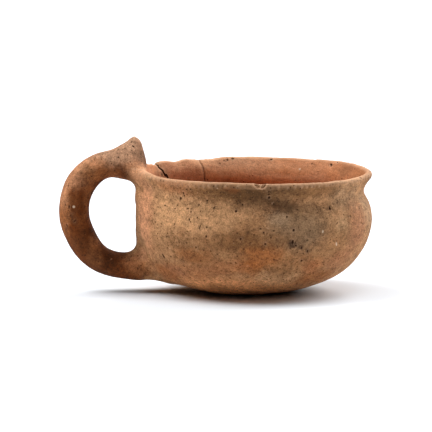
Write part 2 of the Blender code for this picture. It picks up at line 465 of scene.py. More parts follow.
@dataclass(frozen=True)
class Crack:
    """A crack along stations of (azimuth in degrees, height in mm, width in mm) on the bowl's wall."""

    stations: tuple[Triple, ...]
    cut: Cut
    depth: float = 0.8 * MM  # of a groove
    slant: float = 1.2 * MM  # how far round the wall the blade's outer edge is from its inner one
    taper: Pair = (1.30, 0.10)  # the blade's width inside and outside, as shares of the crack's
    kept: float = 0.5 * MM  # of the wall, beyond the blade's edge
    margin: float = 1.2 * MM  # how far inside the wall the blade starts
    wall_top: float = 71.5 * MM  # above this, the blade takes the wall as it is here
    open_above: float = 72.0 * MM  # where the blade goes right through the lip
    open_margins: int = 3  # how many margins further it reaches there
    even_rounds: int = 6
    jags: tuple[Triple, ...] = ((1.5, 3.3, 0.0), (1.0, 1.4, 7.0))  # weight, steps and turn
    jitter: float = 0.36 * MM
    step: float = 0.8 * MM
    seed: float = 3.0

    def path(self) -> Array:
        """The jagged path on the unrolled wall.

        Returns:
            Rows of length round the wall, height and width.
        """
        rows = np.array(self.stations, dtype=float)
        rows[:, 0] = np.radians(rows[:, 0]) * WALL_RADIUS
        rows[:, 1:] *= MM
        reach = np.concatenate([[0], np.cumsum(np.hypot(*np.diff(rows[:, :2], axis=0).T))])
        at = np.linspace(0, reach[-1], max(3, round(reach[-1] / self.step)))
        path = np.column_stack([np.interp(at, reach, column) for column in rows.T])
        shift = sum(share * line_ripples(at, size * self.step, self.seed + turn) for share, size, turn in self.jags)
        path[:, :2] += self.across(path) * (self.jitter * shift)[:, None]
        return path

    def distance(self, flat: Array) -> Array:
        """How far points of the unrolled wall are from the crack."""
        return path_distance(flat, self.path()[:, :2])

    @staticmethod
    def across(path: Array) -> Array:
        """Unit vectors across a path, on the unrolled wall."""
        along = np.gradient(path[:, :2], axis=0)
        return np.column_stack([-along[:, 1], along[:, 0]]) / np.hypot(*along.T)[:, None]

    def groove(self, flat: Array) -> Array:
        """How deep the crack's groove is at points of the unrolled wall.

        Args:
            flat: Rows of length round the wall, and height.

        Returns:
            One depth for each point.
        """
        path = self.path()
        depth = np.zeros(len(flat))
        for start, end in zip(path[:-1], path[1:]):
            gap = path_distance(flat, np.array([start[:2], end[:2]]))
            depth = np.maximum(depth, self.depth * eased(1.25 - gap / ((start[2] + end[2]) / 4)))
        return depth

    def blade(self, skin: Skin) -> Solid:
        """The solid that cuts this crack into the wall.

        Args:
            skin: The cup's surface.

        Returns:
            A thin closed wedge.
        """
        path = self.path()
        even = path.copy()
        for _ in range(self.even_rounds):
            even[1:-1] = (even[:-2] + 2 * even[1:-1] + even[2:]) / 4
        rings = []
        for (length, height, width), (sideways, upward) in zip(path, self.across(even)):
            ring = []
            for face, sign in ((Face.INNER, 1), (Face.INNER, -1), (Face.OUTER, -1), (Face.OUTER, 1)):
                outer = face is Face.OUTER
                half = width / 2 * (self.taper[1] if outer else self.taper[0])
                u = length + sign * sideways * half + (self.slant if outer else 0)
                v = height + sign * upward * half
                point, _ = skin.wall(u / WALL_RADIUS, min(v, self.wall_top), face)
                reach = math.hypot(point.x, point.y) - (self.kept if outer else self.margin)
                if outer and height > self.open_above:
                    reach += self.open_margins * self.margin
                angle = u / WALL_RADIUS
                ring.append(Vector((reach * math.cos(angle), reach * math.sin(angle), v)))
            rings.append(ring)
        return skinned(rings)


@dataclass(frozen=True)
class Flake:
    """A shallow scar where a flake came off."""

    spot: Spot
    width: float
    tall: float
    depth: float = 0.6 * MM
    lean: float = 0.0  # degrees that the scar turns from level
    bulge: float = 2.0  # how many times the depth the scooping solid is deep
    seed: float = 5.0
    roughness: float = 0.12
    lumps: float = 2.2  # how many there are across the ball

    def scoop(self, skin: Skin) -> Solid:
        """The solid that takes the flake off.

        Args:
            skin: The cup's surface.

        Returns:
            A closed lumpy ball.
        """
        point, normal = self.spot.find(skin)
        deep = self.bulge * self.depth
        share = math.sqrt(1 - (1 - self.depth / deep) ** 2)
        side = Vector((0, 0, 1)).cross(normal).normalized()
        side = Matrix.Rotation(math.radians(self.lean), 3, normal) @ side
        rise = normal.cross(side)
        ball = bmesh.new()
        bmesh.ops.create_icosphere(ball, subdivisions=4, radius=1.0)
        centre = point + normal * (deep - self.depth)
        for corner in ball.verts:
            lump = 1 + self.roughness * noise.noise(corner.co * self.lumps + Vector((self.seed,) * 3))
            x, y, z = corner.co * lump
            corner.co = centre + side * (x * self.width / 2 / share) + rise * (y * self.tall / 2 / share)
            corner.co += normal * (z * deep)
        return ball


def skinned(rings: list[list[Vector]]) -> Solid:
    """Joins rings of corners into one closed solid.

    Args:
        rings: Rings with equal numbers of corners.

    Returns:
        The solid.
    """
    form = bmesh.new()
    rows = [[form.verts.new(corner) for corner in ring] for ring in rings]
    count = len(rows[0])
    for one, two in zip(rows, rows[1:]):
        for index in range(count):
            after = (index + 1) % count
            form.faces.new((one[index], one[after], two[after], two[index]))
    form.faces.new(rows[0])
    form.faces.new(rows[-1])
    bmesh.ops.triangulate(form, faces=form.faces)
    bmesh.ops.recalc_face_normals(form, faces=form.faces)
    return form


# ---- what happened to this cup


def pits(spot: Callable[..., Spot], rows: Sequence[tuple[float, ...]]) -> list[Pit]:
    """Pits on one part of the cup.

    Args:
        spot: Makes a place from a row's first numbers.
        rows: For each pit its place's numbers and its radius in mm, then, where they aren't the usual ones,
            its depth in mm, its length in radii and its turn.

    Returns:
        The pits.
    """
    count = 3 if spot is HandleSpot else 2
    made = []
    for row in rows:
        sizes = [size * MM for size in row[count:count + 2]]
        made.append(Pit(spot(*row[:count]), *sizes, *row[count + 2:]))
    return made


def lining_spot(azimuth: float, height: float) -> BowlSpot:
    """A place on the bowl's inside."""
    return BowlSpot(azimuth, height, Face.INNER)


HAND_PUSHES = (  # the handle's two roots, then the belly's right end
    HandPush((-74, 0, 63), 15, (3.4, 0, 0)),
    HandPush((-69, 0, 31), 13, (-2.0, 0, 0)),
    HandPush((60, 0, 15), 32, (0.65, 0, -0.65)),
)
SHERD_CRACK = Crack(
    stations=((147.0, 77.5, 2.6), (147.9, 74.6, 2.6), (149.0, 73.2, 2.7), (149.3, 71.6, 2.6), (148.9, 70.4, 2.6),
              (148.2, 69.2, 2.7), (147.6, 68.0, 2.5), (146.7, 67.0, 1.9), (145.6, 66.0, 2.1), (144.6, 65.1, 2.0),
              (143.2, 63.6, 1.2), (142.0, 62.2, 0.4)),
    cut=Cut.WEDGE,
)
SHERD_SEAM = Crack(
    stations=((142.2, 62.6, 0.9), (139, 59, 1.0), (134, 52.5, 0.9), (127, 47.5, 1.0), (121, 49, 0.9),
              (118.8, 55, 1.1), (118.4, 60, 1.5), (118.3, 64, 1.6), (118.3, 66.8, 1.5), (118.5, 69.9, 1.3),
              (119.0, 72.0, 1.2), (119.2, 76.0, 1.2)),
    cut=Cut.GROOVE,
    depth=0.5 * MM,
    seed=11.0,
)
CRACKS = (SHERD_CRACK, SHERD_SEAM)
SHERD_OUTLINE = (  # azimuth in degrees and height in mm
    (147.2, 80), (147.8, 74.6), (149.3, 73.2), (149.6, 71.6), (148.3, 69.2), (146.9, 67.0), (145.6, 66.0),
    (143.2, 63.6), (139, 59), (134, 52.5), (127, 47.5), (121, 49), (118.8, 55), (118.3, 64), (118.5, 69.9),
    (119.2, 80),
)
LIP_LINE = (  # azimuth in degrees, and how far the lip has worn down there, in mm
    (-180, 0.9), (-158, 0.0), (-90.6, 0.0), (-89.2, 0.45), (-86.6, 0.7), (-84.8, 0.4), (-83.4, 0.0), (62, 0.0),
    (80, -0.3), (90, -0.8), (104, -0.8), (108, -0.3), (110.5, 0.2), (112.6, 0.5), (114.9, 0.75), (116.9, 0.65),
    (119.0, 1.1), (121.6, 0.5), (124, 0.4), (126.5, 0.1), (129, 0.25), (131.6, 0.95), (134.5, 1.0), (137.3, 0.5),
    (140, 0.1), (143, 0.0), (145.4, 0.15), (146.8, 0.5), (147.2, 1.0), (147.8, 1.7), (157, 1.3), (164, 0.9),
    (180, 0.9),
)
LIP_FLAKES = (  # in the rounds that they come off in, because scars that overlap can't be cut at once
    (
        Flake(BowlSpot(-88.5, 72.9), 6.4 * MM, 2.9 * MM, 0.95 * MM, lean=-42),
        Flake(lining_spot(150.6, 67.4), 2.2 * MM, 2.6 * MM, 0.28 * MM, lean=20, seed=8.0),
    ),
    (Flake(BowlSpot(-85.6, 72.4), 5.2 * MM, 2.6 * MM, 0.9 * MM, lean=46, seed=9.0),),
)
UNCHIPPED = ((112, 155), (158, 180), (245, 290))  # stretches of the lip without seeded chips, in degrees
NAMED_PITS = (
    *pits(BowlSpot, (
        (-127.3, 66.6, 0.60), (-129.6, 63.1, 0.78, 0.8, 1.3, 0.6), (-127.0, 65.0, 0.50), (-122.4, 69.3, 0.50),
        (-124.6, 69.1, 0.45), (-139.1, 57.8, 0.50), (-132.3, 56.7, 0.42), (-124.5, 57.5, 0.42),
        (-122.5, 55.7, 0.50), (-118.7, 60.1, 0.42), (-114.4, 62.8, 0.45), (-110.5, 58.8, 0.50),
        (-99.2, 57.0, 0.68, 0.8), (-96.0, 60.9, 0.45), (-123.1, 51.0, 0.60), (-82.3, 65.1, 0.72, 0.9),
        (-82.7, 67.2, 0.50), (-82.8, 69.1, 0.42), (-70.6, 45.5, 0.72, 0.8), (-70.9, 38.3, 0.75, 0.8, 1.7),
        (-69.0, 36.0, 0.50), (-65.8, 34.4, 0.58, 0.5, 1.6), (-62.1, 32.0, 0.58, 0.5, 1.5),
        (-144.4, 26.4, 0.85, 0.8, 1.8, -0.5), (-118.8, 52.4, 0.42), (-117.4, 46.4, 0.45), (-113.4, 47.1, 0.55),
        (-113.7, 41.5, 0.60), (-119.9, 34.4, 0.50), (-96.6, 40.6, 0.62), (-84.6, 37.4, 0.58), (-85.4, 44.6, 0.45),
        (-73.6, 53.6, 0.55), (-64.2, 26.0, 0.60), (-47.8, 56.7, 0.85, 0.7, 1.3), (-34.7, 50.9, 0.50),
        (-24.9, 45.3, 0.60), (-137.5, 39.1, 0.50),
    )),
    *pits(lining_spot, (
        (103.7, 72.0, 0.55), (44.8, 71.5, 0.70, 0.5, 2.2),
    )),
    *pits(HandleSpot, (
        (-97.6, -5, 60.2, 1.0, 0.5, 1.6, 1.2), (-112.0, -9.8, 52.7, 0.50, 0.4, 2.0),
        (-111.0, -9.8, 47.5, 0.42, 0.4), (-108.5, -10.5, 44.0, 0.40, 0.4),
    )),
)
LIME_SPECKS = (
    Pit(HandleSpot(-109.1, -10.5, 52.7), 0.75 * MM, -0.10 * MM, 1.0),
    Pit(lining_spot(63.8, 67.7), 0.65 * MM, -0.08 * MM, 1.0),
    Pit(BowlSpot(-54.5, 43.5), 0.55 * MM, -0.08 * MM, 1.5),
    Pit(BowlSpot(-44.6, 34.8), 0.55 * MM, -0.08 * MM, 2.4, 1.4),
)


def in_sherd(points: Array) -> Array:
    """Which points lie on the sherd that was put back."""
    outline = np.array(SHERD_OUTLINE) * (math.radians(1) * WALL_RADIUS, MM)
    return inside_outline(unrolled(points), outline) & on_wall(points)


# ---- shading tools


Colour = tuple[float, float, float, float]
Source = Socket | float | Sequence[float]


def tone(red: int, green: int, blue: int) -> Colour:
    """A colour-chart tone, from 0 to 255, as the numbers that a shader works in."""
    parts = (part / 255 for part in (red, green, blue))
    return (*(part / 12.92 if part < 0.04 else ((part + 0.055) / 1.055) ** 2.4 for part in parts), 1.0)


@dataclass(frozen=True)
class Sheet:
    """Lays out nodes in one material or group."""

    tree: Tree

    def put(self, socket: Socket, source: Source) -> None:
        """Gives an input either a link or a value of its own.

        Args:
            socket: The input.
            source: Another node's output, or a value.
        """
        if isinstance(source, Socket):
            self.tree.links.new(source, socket)
        else:
            socket.default_value = source

    def node(self, kind: str, inputs: dict[str | int, Source] | None = None, **settings: object) -> Node:
        """Adds a node.

        Args:
            kind: The node's type, without its common first words.
            inputs: What goes into its inputs, by name or number.
            settings: Its own options.

        Returns:
            The node.
        """
        made = self.tree.nodes.new("ShaderNode" + kind)
        for name, value in settings.items():
            setattr(made, name, value)
        for name, source in (inputs or {}).items():
            self.put(made.inputs[name], source)
        return made

    def math(self, operation: str, *sources: Source) -> Socket:
        """One sum over values."""
        return self.node("Math", dict(enumerate(sources)), operation=operation).outputs[0]

    def times(self, one: Source, two: Source) -> Socket:
        """One value times another."""
        return self.math("MULTIPLY", one, two)

    def plus(self, one: Source, two: Source) -> Socket:
        """One value and another."""
        return self.math("ADD", one, two)

    def vector(self, operation: str, one: Source, two: Source) -> Socket:
        """One sum over vectors."""
        return self.node("VectorMath", {0: one, 1: two}, operation=operation).outputs["Vector"]

    def scaled(self, colour: Source, factor: Source) -> Socket:
        """A colour or vector times a value."""
        return self.node("VectorMath", {0: colour, "Scale": factor}, operation="SCALE").outputs["Vector"]

    def noise(self, place: Source, size: float, detail: float = 2.0, rough: float = 0.5) -> Socket:
        """Soft noise with ripples of a given size, as a value round 0.5."""
        return self.noise_node(place, size, detail, rough).outputs["Fac"]

    def noise_node(self, place: Source, size: float, detail: float = 2.0, rough: float = 0.5) -> Node:
        """Soft noise with ripples of a given size, as a value and a colour."""
        return self.node("TexNoise", {"Vector": place, "Scale": 1 / size, "Detail": detail, "Roughness": rough})

    def band(self, value: Source, low: Source, high: Source, to: Pair = (0, 1)) -> Socket:
        """A smooth step from one value to another.

        Args:
            value: What is measured.
            low: Where the step starts.
            high: Where the step ends.
            to: The values at the start and at the end.

        Returns:
            The stepped value.
        """
        inputs = {"Value": value, "From Min": low, "From Max": high, "To Min": to[0], "To Max": to[1]}
        return self.node("MapRange", inputs, interpolation_type="SMOOTHSTEP").outputs["Result"]

    def mix(self, share: Source, one: Source, two: Source, blend: str = "MIX") -> Socket:
        """Two colours mixed by a share of the second."""
        made = self.node("Mix", {0: share, 6: one, 7: two}, data_type="RGBA", blend_type=blend)
        return made.outputs[2]

    def laid(self, colour: Source, tint: Source, mask: Source, share: float) -> Socket:
        """A colour with a tone laid over it where a mask is, up to a share."""
        return self.mix(self.times(mask, share), colour, tint)

    def mask(self, name: str) -> Socket:
        """A mask stored in the mesh."""
        return self.node("Attribute", attribute_name=name).outputs["Fac"]

    def group(self, tree: Tree, inputs: dict[str, Source]) -> Node:
        """Places a node group with its own values."""
        return self.node("Group", inputs, node_tree=tree)


def new_group(name: str, inputs: dict[str, str], outputs: dict[str, str]) -> tuple[Tree, Sheet, Node, Node]:
    """Starts a node group.

    Args:
        name: The group's name.
        inputs: Its inputs' names and kinds.
        outputs: Its outputs' names and kinds.

    Returns:
        The group, a sheet on it, and its input and output nodes.
    """
    tree = bpy.data.node_groups.new(name, "ShaderNodeTree")
    for direction, sockets in (("INPUT", inputs), ("OUTPUT", outputs)):
        for label, kind in sockets.items():
            tree.interface.new_socket(label, in_out=direction, socket_type="NodeSocket" + kind)
    return tree, Sheet(tree), tree.nodes.new("NodeGroupInput"), tree.nodes.new("NodeGroupOutput")


def soft_patch() -> Tree:
    """A patch round a centre, with a soft edge.

    Returns:
        The group: a place, the patch's centre, its reach along each axis and its softness give a mask.
    """
    inputs = {"Place": "Vector", "Centre": "Vector", "Reach": "Vector", "Softness": "Float"}
    tree, sheet, given, result = new_group("SoftPatch", inputs, {"Mask": "Float"})
    place, centre, reach, softness = (given.outputs[name] for name in inputs)
    gap = sheet.vector("DIVIDE", sheet.vector("SUBTRACT", place, centre), reach)
    length = sheet.node("VectorMath", {0: gap}, operation="LENGTH").outputs["Value"]
    step = sheet.band(length, sheet.math("SUBTRACT", 1.0, softness), sheet.plus(1.0, softness))
    sheet.put(result.inputs["Mask"], sheet.math("SUBTRACT", 1.0, step))
    return tree


def clay_grain() -> Tree:
    """The grit of hand-dug clay: a fine mottle, dark specks and pale grains.

    Returns:
        The group: a place, the grain's size and contrast, and the specks' spacing and share give a shade round 1,
        a mask of dark specks, a mask of pale grains, and a height.
    """
    inputs = {"Place": "Vector", "Grain": "Float", "Contrast": "Float", "Spacing": "Float", "Specks": "Float"}
    outputs = {"Shade": "Float", "Dark": "Float", "Pale": "Float", "Height": "Float"}
    tree, sheet, given, result = new_group("ClayGrain", inputs, outputs)
    place, grain, contrast, spacing, specks = (given.outputs[name] for name in inputs)
    fine_place = sheet.scaled(place, sheet.math("DIVIDE", 1.0, grain))
    layers = ((1.0, 3.0, 0.7), (3.4, 2.0, 0.6), (9.0, 2.0, 0.5))  # ripple in grains, detail and roughness
    fine, middle, broad = (sheet.noise(fine_place, *layer) for layer in layers)
    mottle = sheet.plus(sheet.plus(sheet.times(fine, 1.05), sheet.times(middle, 0.65)), sheet.times(broad, 0.30))
    shade = sheet.plus(sheet.times(sheet.math("SUBTRACT", mottle, 1.0), contrast), 1.0)
    masks = []
    for shift, share, small, large in ((0.0, 1.0, 0.20, 0.66), (7.7, 0.8, 0.12, 0.36)):  # dark, then pale; in mm
        moved = sheet.vector("ADD", place, (shift, shift, shift))
        cells = sheet.node("TexVoronoi", {
            "Vector": sheet.scaled(moved, sheet.math("DIVIDE", 1.0, spacing)), "Scale": 1.0})
        pick = sheet.node("SeparateColor", {"Color": cells.outputs["Color"]})
        gap = sheet.times(cells.outputs["Distance"], spacing)
        size = sheet.math("POWER", pick.outputs["Red"], 2.2)
        radius = sheet.band(size, 0.0, 1.0, (small * MM, large * MM))
        speck = sheet.band(gap, sheet.times(radius, 1.1), sheet.times(radius, 0.6))
        chosen = sheet.math("LESS_THAN", pick.outputs["Green"], sheet.times(specks, share))
        masks.append(sheet.times(speck, chosen))
    dark, pale = masks
    height = sheet.math("SUBTRACT", sheet.plus(fine, sheet.times(middle, 0.8)), sheet.times(dark, 0.9))
    height = sheet.plus(height, sheet.times(pale, 0.4))
    for name, value in zip(outputs, (shade, dark, pale, height)):
        sheet.put(result.inputs[name], value)
    return tree


def wiping() -> Tree:
    """The streaks that wiping with a wet hand or grass leaves.

    Returns:
        The group: a place stretched along the strokes and the stroke's size give a value round 0.5.
    """
    tree, sheet, given, result = new_group("Wiping", {"Place": "Vector", "Stroke": "Float"}, {"Streak": "Float"})
    place = sheet.scaled(given.outputs["Place"], sheet.math("DIVIDE", 1.0, given.outputs["Stroke"]))
    fine, broad = sheet.noise(place, 1.0, 2.0, 0.6), sheet.noise(place, 3.1, 1.0, 0.5)
    both = sheet.plus(sheet.times(fine, 0.55), sheet.times(broad, 0.45))
    sheet.put(result.inputs["Streak"], sheet.band(both, 0.30, 0.70))
    return tree


def hollow_darkening() -> Tree:
    """Darkens the hollows of the surface, with a mask broken up by noise.

    Returns:
        The group: a place, how hollow the surface is and an amount give a mask.
    """
    inputs = {"Place": "Vector", "Hollow": "Float", "Amount": "Float"}
    tree, sheet, given, result = new_group("HollowDarkening", inputs, {"Mask": "Float"})
    place, hollow, amount = (given.outputs[name] for name in inputs)
    settled = sheet.times(hollow, sheet.band(sheet.noise(place, 3.5 * MM, 3.0, 0.6), 0.25, 0.65, (0.4, 1.0)))
    sheet.put(result.inputs["Mask"], sheet.times(settled, amount))
    return tree


@dataclass(frozen=True)
class ClayEffects:
    """The node groups that the clay materials share."""

    patch: Tree
    grain: Tree
    wiping: Tree
    hollow_darkening: Tree

    @classmethod
    def made(cls) -> "ClayEffects":
        """Builds each group once."""
        return cls(soft_patch(), clay_grain(), wiping(), hollow_darkening())


# ---- finishes


BUFF = tone(162, 119, 83)
SAND = tone(186, 141, 100)
PALE_STROKE = tone(184, 146, 108)
RUST = tone(156, 102, 66)
BRICK = tone(112, 60, 28)
ORANGE = tone(140, 82, 42)
BROWN = tone(110, 73, 43)
ASH = tone(122, 97, 73)
PALE_ASH = tone(150, 122, 95)
OLIVE_BROWN = tone(104, 72, 44)
OLIVE = tone(78, 54, 33)
# a soot-dark tone, also used as painted shade in the neck groove under the lip
SOOT_AND_NECK_SHADE = tone(64, 44, 28)
STAIN = tone(46, 32, 22)
PINK = tone(160, 109, 78)
PALE_PINK = tone(186, 132, 96)
LINING = tone(182, 120, 80)
PALE_LINING = tone(208, 154, 116)
STRAP = tone(92, 45, 15)
STRAP_PALE = tone(154, 98, 60)
UMBER = tone(60, 27, 7)
DULL_PINK = tone(176, 122, 90)
# a pale tone of worn clay, also used as painted highlight on edges and along the top of the lip
WORN_AND_HIGHLIGHT = tone(206, 163, 130)
# a pale tone used as painted bounce light from the floor on the foot
PAINTED_BOUNCE_LIGHT = tone(208, 146, 98)
# a dark tone for dirt, specks and pits, also used as painted shade deep in the crack
DIRT_AND_SHADE = tone(48, 27, 13)
LIME = tone(210, 190, 166)


@dataclass(frozen=True)
class FireAndLightPatch:
    """A patch of colour on the clay: most are where the open fire, or use, coloured it; some are painted light and
    painted shade.
    """

    spot: Spot
    wide: float  # millimetres, half the patch's width
    tall: float
    tint: Colour
    strength: float = 0.8
    softness: float = 0.5

    @property
    def within(self) -> bool:
        """Whether the patch is on the lining."""
        return isinstance(self.spot, BowlSpot) and self.spot.face is Face.INNER

    def form(self, place: Source, skin: Skin) -> dict[str, Source]:
        """What the patch group needs to show the patch.

        Args:
            place: The place on the cup.
            skin: The cup's surface.

        Returns:
            The group's inputs.
        """
        centre, _ = self.spot.find(skin)
        reach = Vector((self.wide, self.wide, self.tall)) * MM
        return {"Place": place, "Centre": centre, "Reach": reach, "Softness": self.softness}


def fire_and_light_patches(spot: Callable[..., Spot], rows: Sequence[tuple]) -> list[FireAndLightPatch]:
    """Colour patches on one part of the cup: fire clouds, and some painted light and painted shade.

    Args:
        spot: Makes a place from a row's first numbers.
        rows: For each patch its place's numbers, half its width and height in mm, its tone and strength, and
        its softness where it isn't the usual one.

    Returns:
        The patches.
    """
    count = 3 if spot is HandleSpot else 2
    return [FireAndLightPatch(spot(*row[:count]), *row[count:]) for row in rows]


FIRE_AND_LIGHT_PATCHES = (
    # the front: a pale band, an olive smear under the lip, ash to the right, orange and rust below; the olive smear
    # and the dark neck groove are partly fire clouding and partly painted shade under the lip's flare, and the pale
    # patch on the foot is painted bounce light
    *fire_and_light_patches(BowlSpot, (
        (-118, 54.6, 33, 9.0, SAND, 0.70), (-136, 58, 12, 9, SAND, 0.50), (-158, 49.0, 10, 21, PALE_PINK, 0.90),
        (-30, 54.0, 22, 20, PALE_STROKE, 0.35), (-131.2, 71.0, 18, 4.5, RUST, 0.70),
        # the olive and olive-brown patches under the lip, and the soot patches in the neck groove, are partly
        # painted shade under the lip's flare
        (-102, 68.5, 20, 7.0, OLIVE_BROWN, 0.95), (-92, 66.5, 17, 5.0, OLIVE, 0.60),
        (-62, 69.0, 21, 6.0, OLIVE_BROWN, 0.80), (-6, 72.0, 19, 5.0, BROWN, 0.90),
        (-34.9, 62.2, 12, 9, PALE_ASH, 0.40), (-50, 32, 26, 15, BROWN, 0.40), (-68, 45.4, 19, 13, ASH, 0.80),
        (-78.3, 52.5, 7, 4, PALE_ASH, 0.60), (-84.5, 68.5, 19, 6.0, OLIVE, 0.72, 0.65),
        (-86.0, 61.5, 14, 3.0, SOOT_AND_NECK_SHADE, 0.35, 0.65), (-74.5, 60.0, 11, 3.8, SOOT_AND_NECK_SHADE, 0.70, 0.65),
        (-65, 54.5, 6, 4, SAND, 0.15), (-84, 40.0, 18, 6, BROWN, 0.60), (-97.6, 38.0, 16, 6, BROWN, 0.65),
        (-127.0, 37.6, 17, 6, BROWN, 0.35), (-102.0, 29.0, 42, 10, BROWN, 0.45),
        (-85.1, 28.5, 13, 8, ORANGE, 0.72), (-93.5, 23.2, 9, 5, ORANGE, 0.60),
        (-123.3, 28.4, 12, 5.5, ORANGE, 0.50), (-136.2, 16.9, 30, 6, RUST, 0.70),
        # the pale patch at -104 degrees low on the foot is painted bounce light from the floor
        (-105.1, 21.7, 13, 5, RUST, 0.60), (-104.0, 8.0, 36, 6, PAINTED_BOUNCE_LIGHT, 0.85), (-70, 21.2, 10, 6, BROWN, 0.35),
        (-75.9, 13.4, 14, 4.5, PALE_STROKE, 0.40), (-55.5, 21.5, 7, 6, RUST, 0.90),
        (-47.1, 13.4, 14, 5, ORANGE, 0.60), (-27.2, 43.8, 11, 14, PINK, 0.75), (-36.5, 23.7, 12, 8, PINK, 0.50),
        (-45.1, 65.3, 4, 2.6, OLIVE, 0.45), (-48.4, 56.5, 3, 2.0, OLIVE, 0.45),
        (-70.8, 37.9, 3.4, 1.7, STAIN, 0.80), (-66.0, 34.8, 2.0, 1.3, STAIN, 0.60),
        (-62.2, 32.0, 1.6, 1.3, STAIN, 0.60), (-144, 44, 6, 6, SAND, 0.50), (-117, 8, 6, 4, BROWN, 0.45),
        (-93, 48, 9, 5, BROWN, 0.40), (-120, 69.5, 6, 3, OLIVE_BROWN, 0.50), (-101.5, 70.5, 5, 2.2, BRICK, 0.45),
        (-84, 63, 6, 3, OLIVE, 0.35), (-74, 17.5, 8, 4, BROWN, 0.40), (-43, 46, 5, 4, PALE_STROKE, 0.35),
        (-12, 54, 10, 13, PALE_ASH, 0.45), (-139, 17, 7, 4, PINK, 0.50), (-150, 14, 12, 6, ORANGE, 0.45),
        (-76, 70.5, 9, 2.5, OLIVE, 0.40), (-32, 66.5, 5, 4, BROWN, 0.35), (-35, 52, 5, 6, BROWN, 0.35),
    )),
    # the handle: bright on its back, dark low down and towards the bowl; the pale patches on the loop's outer side
    # and top are partly painted highlight, and the umber under the loop, low on its inner side and in the crease
    # under the spur is partly painted shade
    *fire_and_light_patches(HandleSpot, (
        # pale patches on the loop's outer side: partly painted highlight
        (-118, -7, 52, 6, 20, STRAP_PALE, 0.65), (-110, -7, 71, 8, 8, PALE_PINK, 0.65),
        (-117, -7, 60, 4, 9, PALE_PINK, 0.60), (-106, -6, 82, 13, 5, PALE_PINK, 0.85),
        (-84, -8, 86, 17, 8, WORN_AND_HIGHLIGHT, 0.52), (-71, -5, 93, 8, 7, WORN_AND_HIGHLIGHT, 0.50), (-67, -8, 82, 4, 7, ASH, 0.35),
        (-68, -18, 74, 9, 8, PALE_PINK, 0.70), (-101, -10, 74, 6, 4, OLIVE_BROWN, 0.40),
        (-80, -13, 73, 7, 3.5, UMBER, 0.35), (-100, -9, 28, 13, 12, UMBER, 0.50),
        # umber low on the loop and under its lower root, here and on the next line: partly painted shade
        (-90, -9, 18, 19, 7, UMBER, 0.75), (-97, -10, 22, 5, 8, STRAP_PALE, 0.30),
        (-84, -6, 9, 13, 4, UMBER, 0.65), (-78, -6, 5, 11, 4, UMBER, 0.60), (-76, -11, 12, 13, 5, BRICK, 0.60),
        (-70, -12, 19, 10, 6, RUST, 0.60), (-66, -12, 24, 5, 5, PALE_PINK, 0.65),
        (-95, -9, 78, 7, 4, STRAP_PALE, 0.50), (-89, -9, 73, 8, 3.5, STRAP_PALE, 0.35),
        # the umber patch at (-73, -12, 70) is painted shade in the crease under the spur
        (-99, -9, 70, 6, 4, STRAP_PALE, 0.40), (-73, -12, 70, 5, 4, UMBER, 0.35),
        (-68, -12, 12, 9, 4, ORANGE, 0.35), (-73, -12, 19, 5, 4, RUST, 0.35),
        (-96, -9, 32, 4, 4, STRAP_PALE, 0.40), (-105.5, -8, 22, 4, 5, BRICK, 0.45),
        (-98.5, -9, 58, 3.5, 14, STRAP_PALE, 0.35), (-104, -9, 67, 4, 5, UMBER, 0.25),
        (-74, -12, 27, 5, 3, UMBER, 0.30), (-110, -8, 33, 4, 8, STRAP_PALE, 0.15),
    )),
    # the lining: paler towards the lip, partly painted light on the upper lining that the lamps leave dim; the two
    # umber bands low on the far lining are painted shadow
    *fire_and_light_patches(lining_spot, (
        (104, 71, 34, 4.5, PALE_LINING, 0.90), (60, 71, 24, 4.0, PALE_LINING, 0.25), (150, 69, 10, 5.0, ASH, 0.30),
        # the umber patches at 106 and 124 degrees are painted shadow low on the far lining
        (106, 57, 30, 2.5, UMBER, 0.30), (124, 58, 12, 4, UMBER, 0.35), (68, 61, 24, 4, PALE_LINING, 0.50),
        (100, 67, 20, 4, PALE_LINING, 0.50), (30, 70, 8, 4, BROWN, 0.40), (100, 72, 14, 3, WORN_AND_HIGHLIGHT, 0.30),
        (2, 72, 12, 4, BROWN, 0.60), (5, 70, 18, 6.0, RUST, 0.95), (-60, 55, 30, 12, BROWN, 0.35),
        (-150, 50, 25, 12, DULL_PINK, 0.50), (40, 20, 30, 12, DULL_PINK, 0.60), (-140, 22, 24, 14, BROWN, 0.40),
        (-70, 26, 22, 12, RUST, 0.50), (40, 11, 24, 10, BROWN, 0.35), (-130, 11, 16, 10, DULL_PINK, 0.60),
        (150, 26, 18, 14, OLIVE_BROWN, 0.35),
    )),
    # the hidden sides and the foot, more plainly; the large brown and olive-brown patches at 8, 68 and 138 degrees
    # are partly painted shade that tones down the side the right lamp lights
    *fire_and_light_patches(BowlSpot, (
        # these three large dark patches are partly painted shade on the lamp-lit back
        (8, 34, 18, 22, BROWN, 0.45), (68, 42, 52, 36, BROWN, 0.60), (138, 42, 52, 36, OLIVE_BROWN, 0.55),
        (12, 50, 14, 12, PALE_ASH, 0.50), (38, 64, 22, 6, OLIVE_BROWN, 0.60), (62, 30, 20, 12, RUST, 0.60),
        (88, 55, 24, 10, SAND, 0.60), (112, 36, 16, 12, ASH, 0.60), (132, 66, 16, 6, OLIVE_BROWN, 0.50),
        (150, 24, 14, 9, ORANGE, 0.50),
    )),
    *fire_and_light_patches(HandleSpot, (
        (20, 15, 0, 24, 9, ASH, 0.50), (-22, 12, 0, 20, 9, PALE_PINK, 0.50),
    )),
)


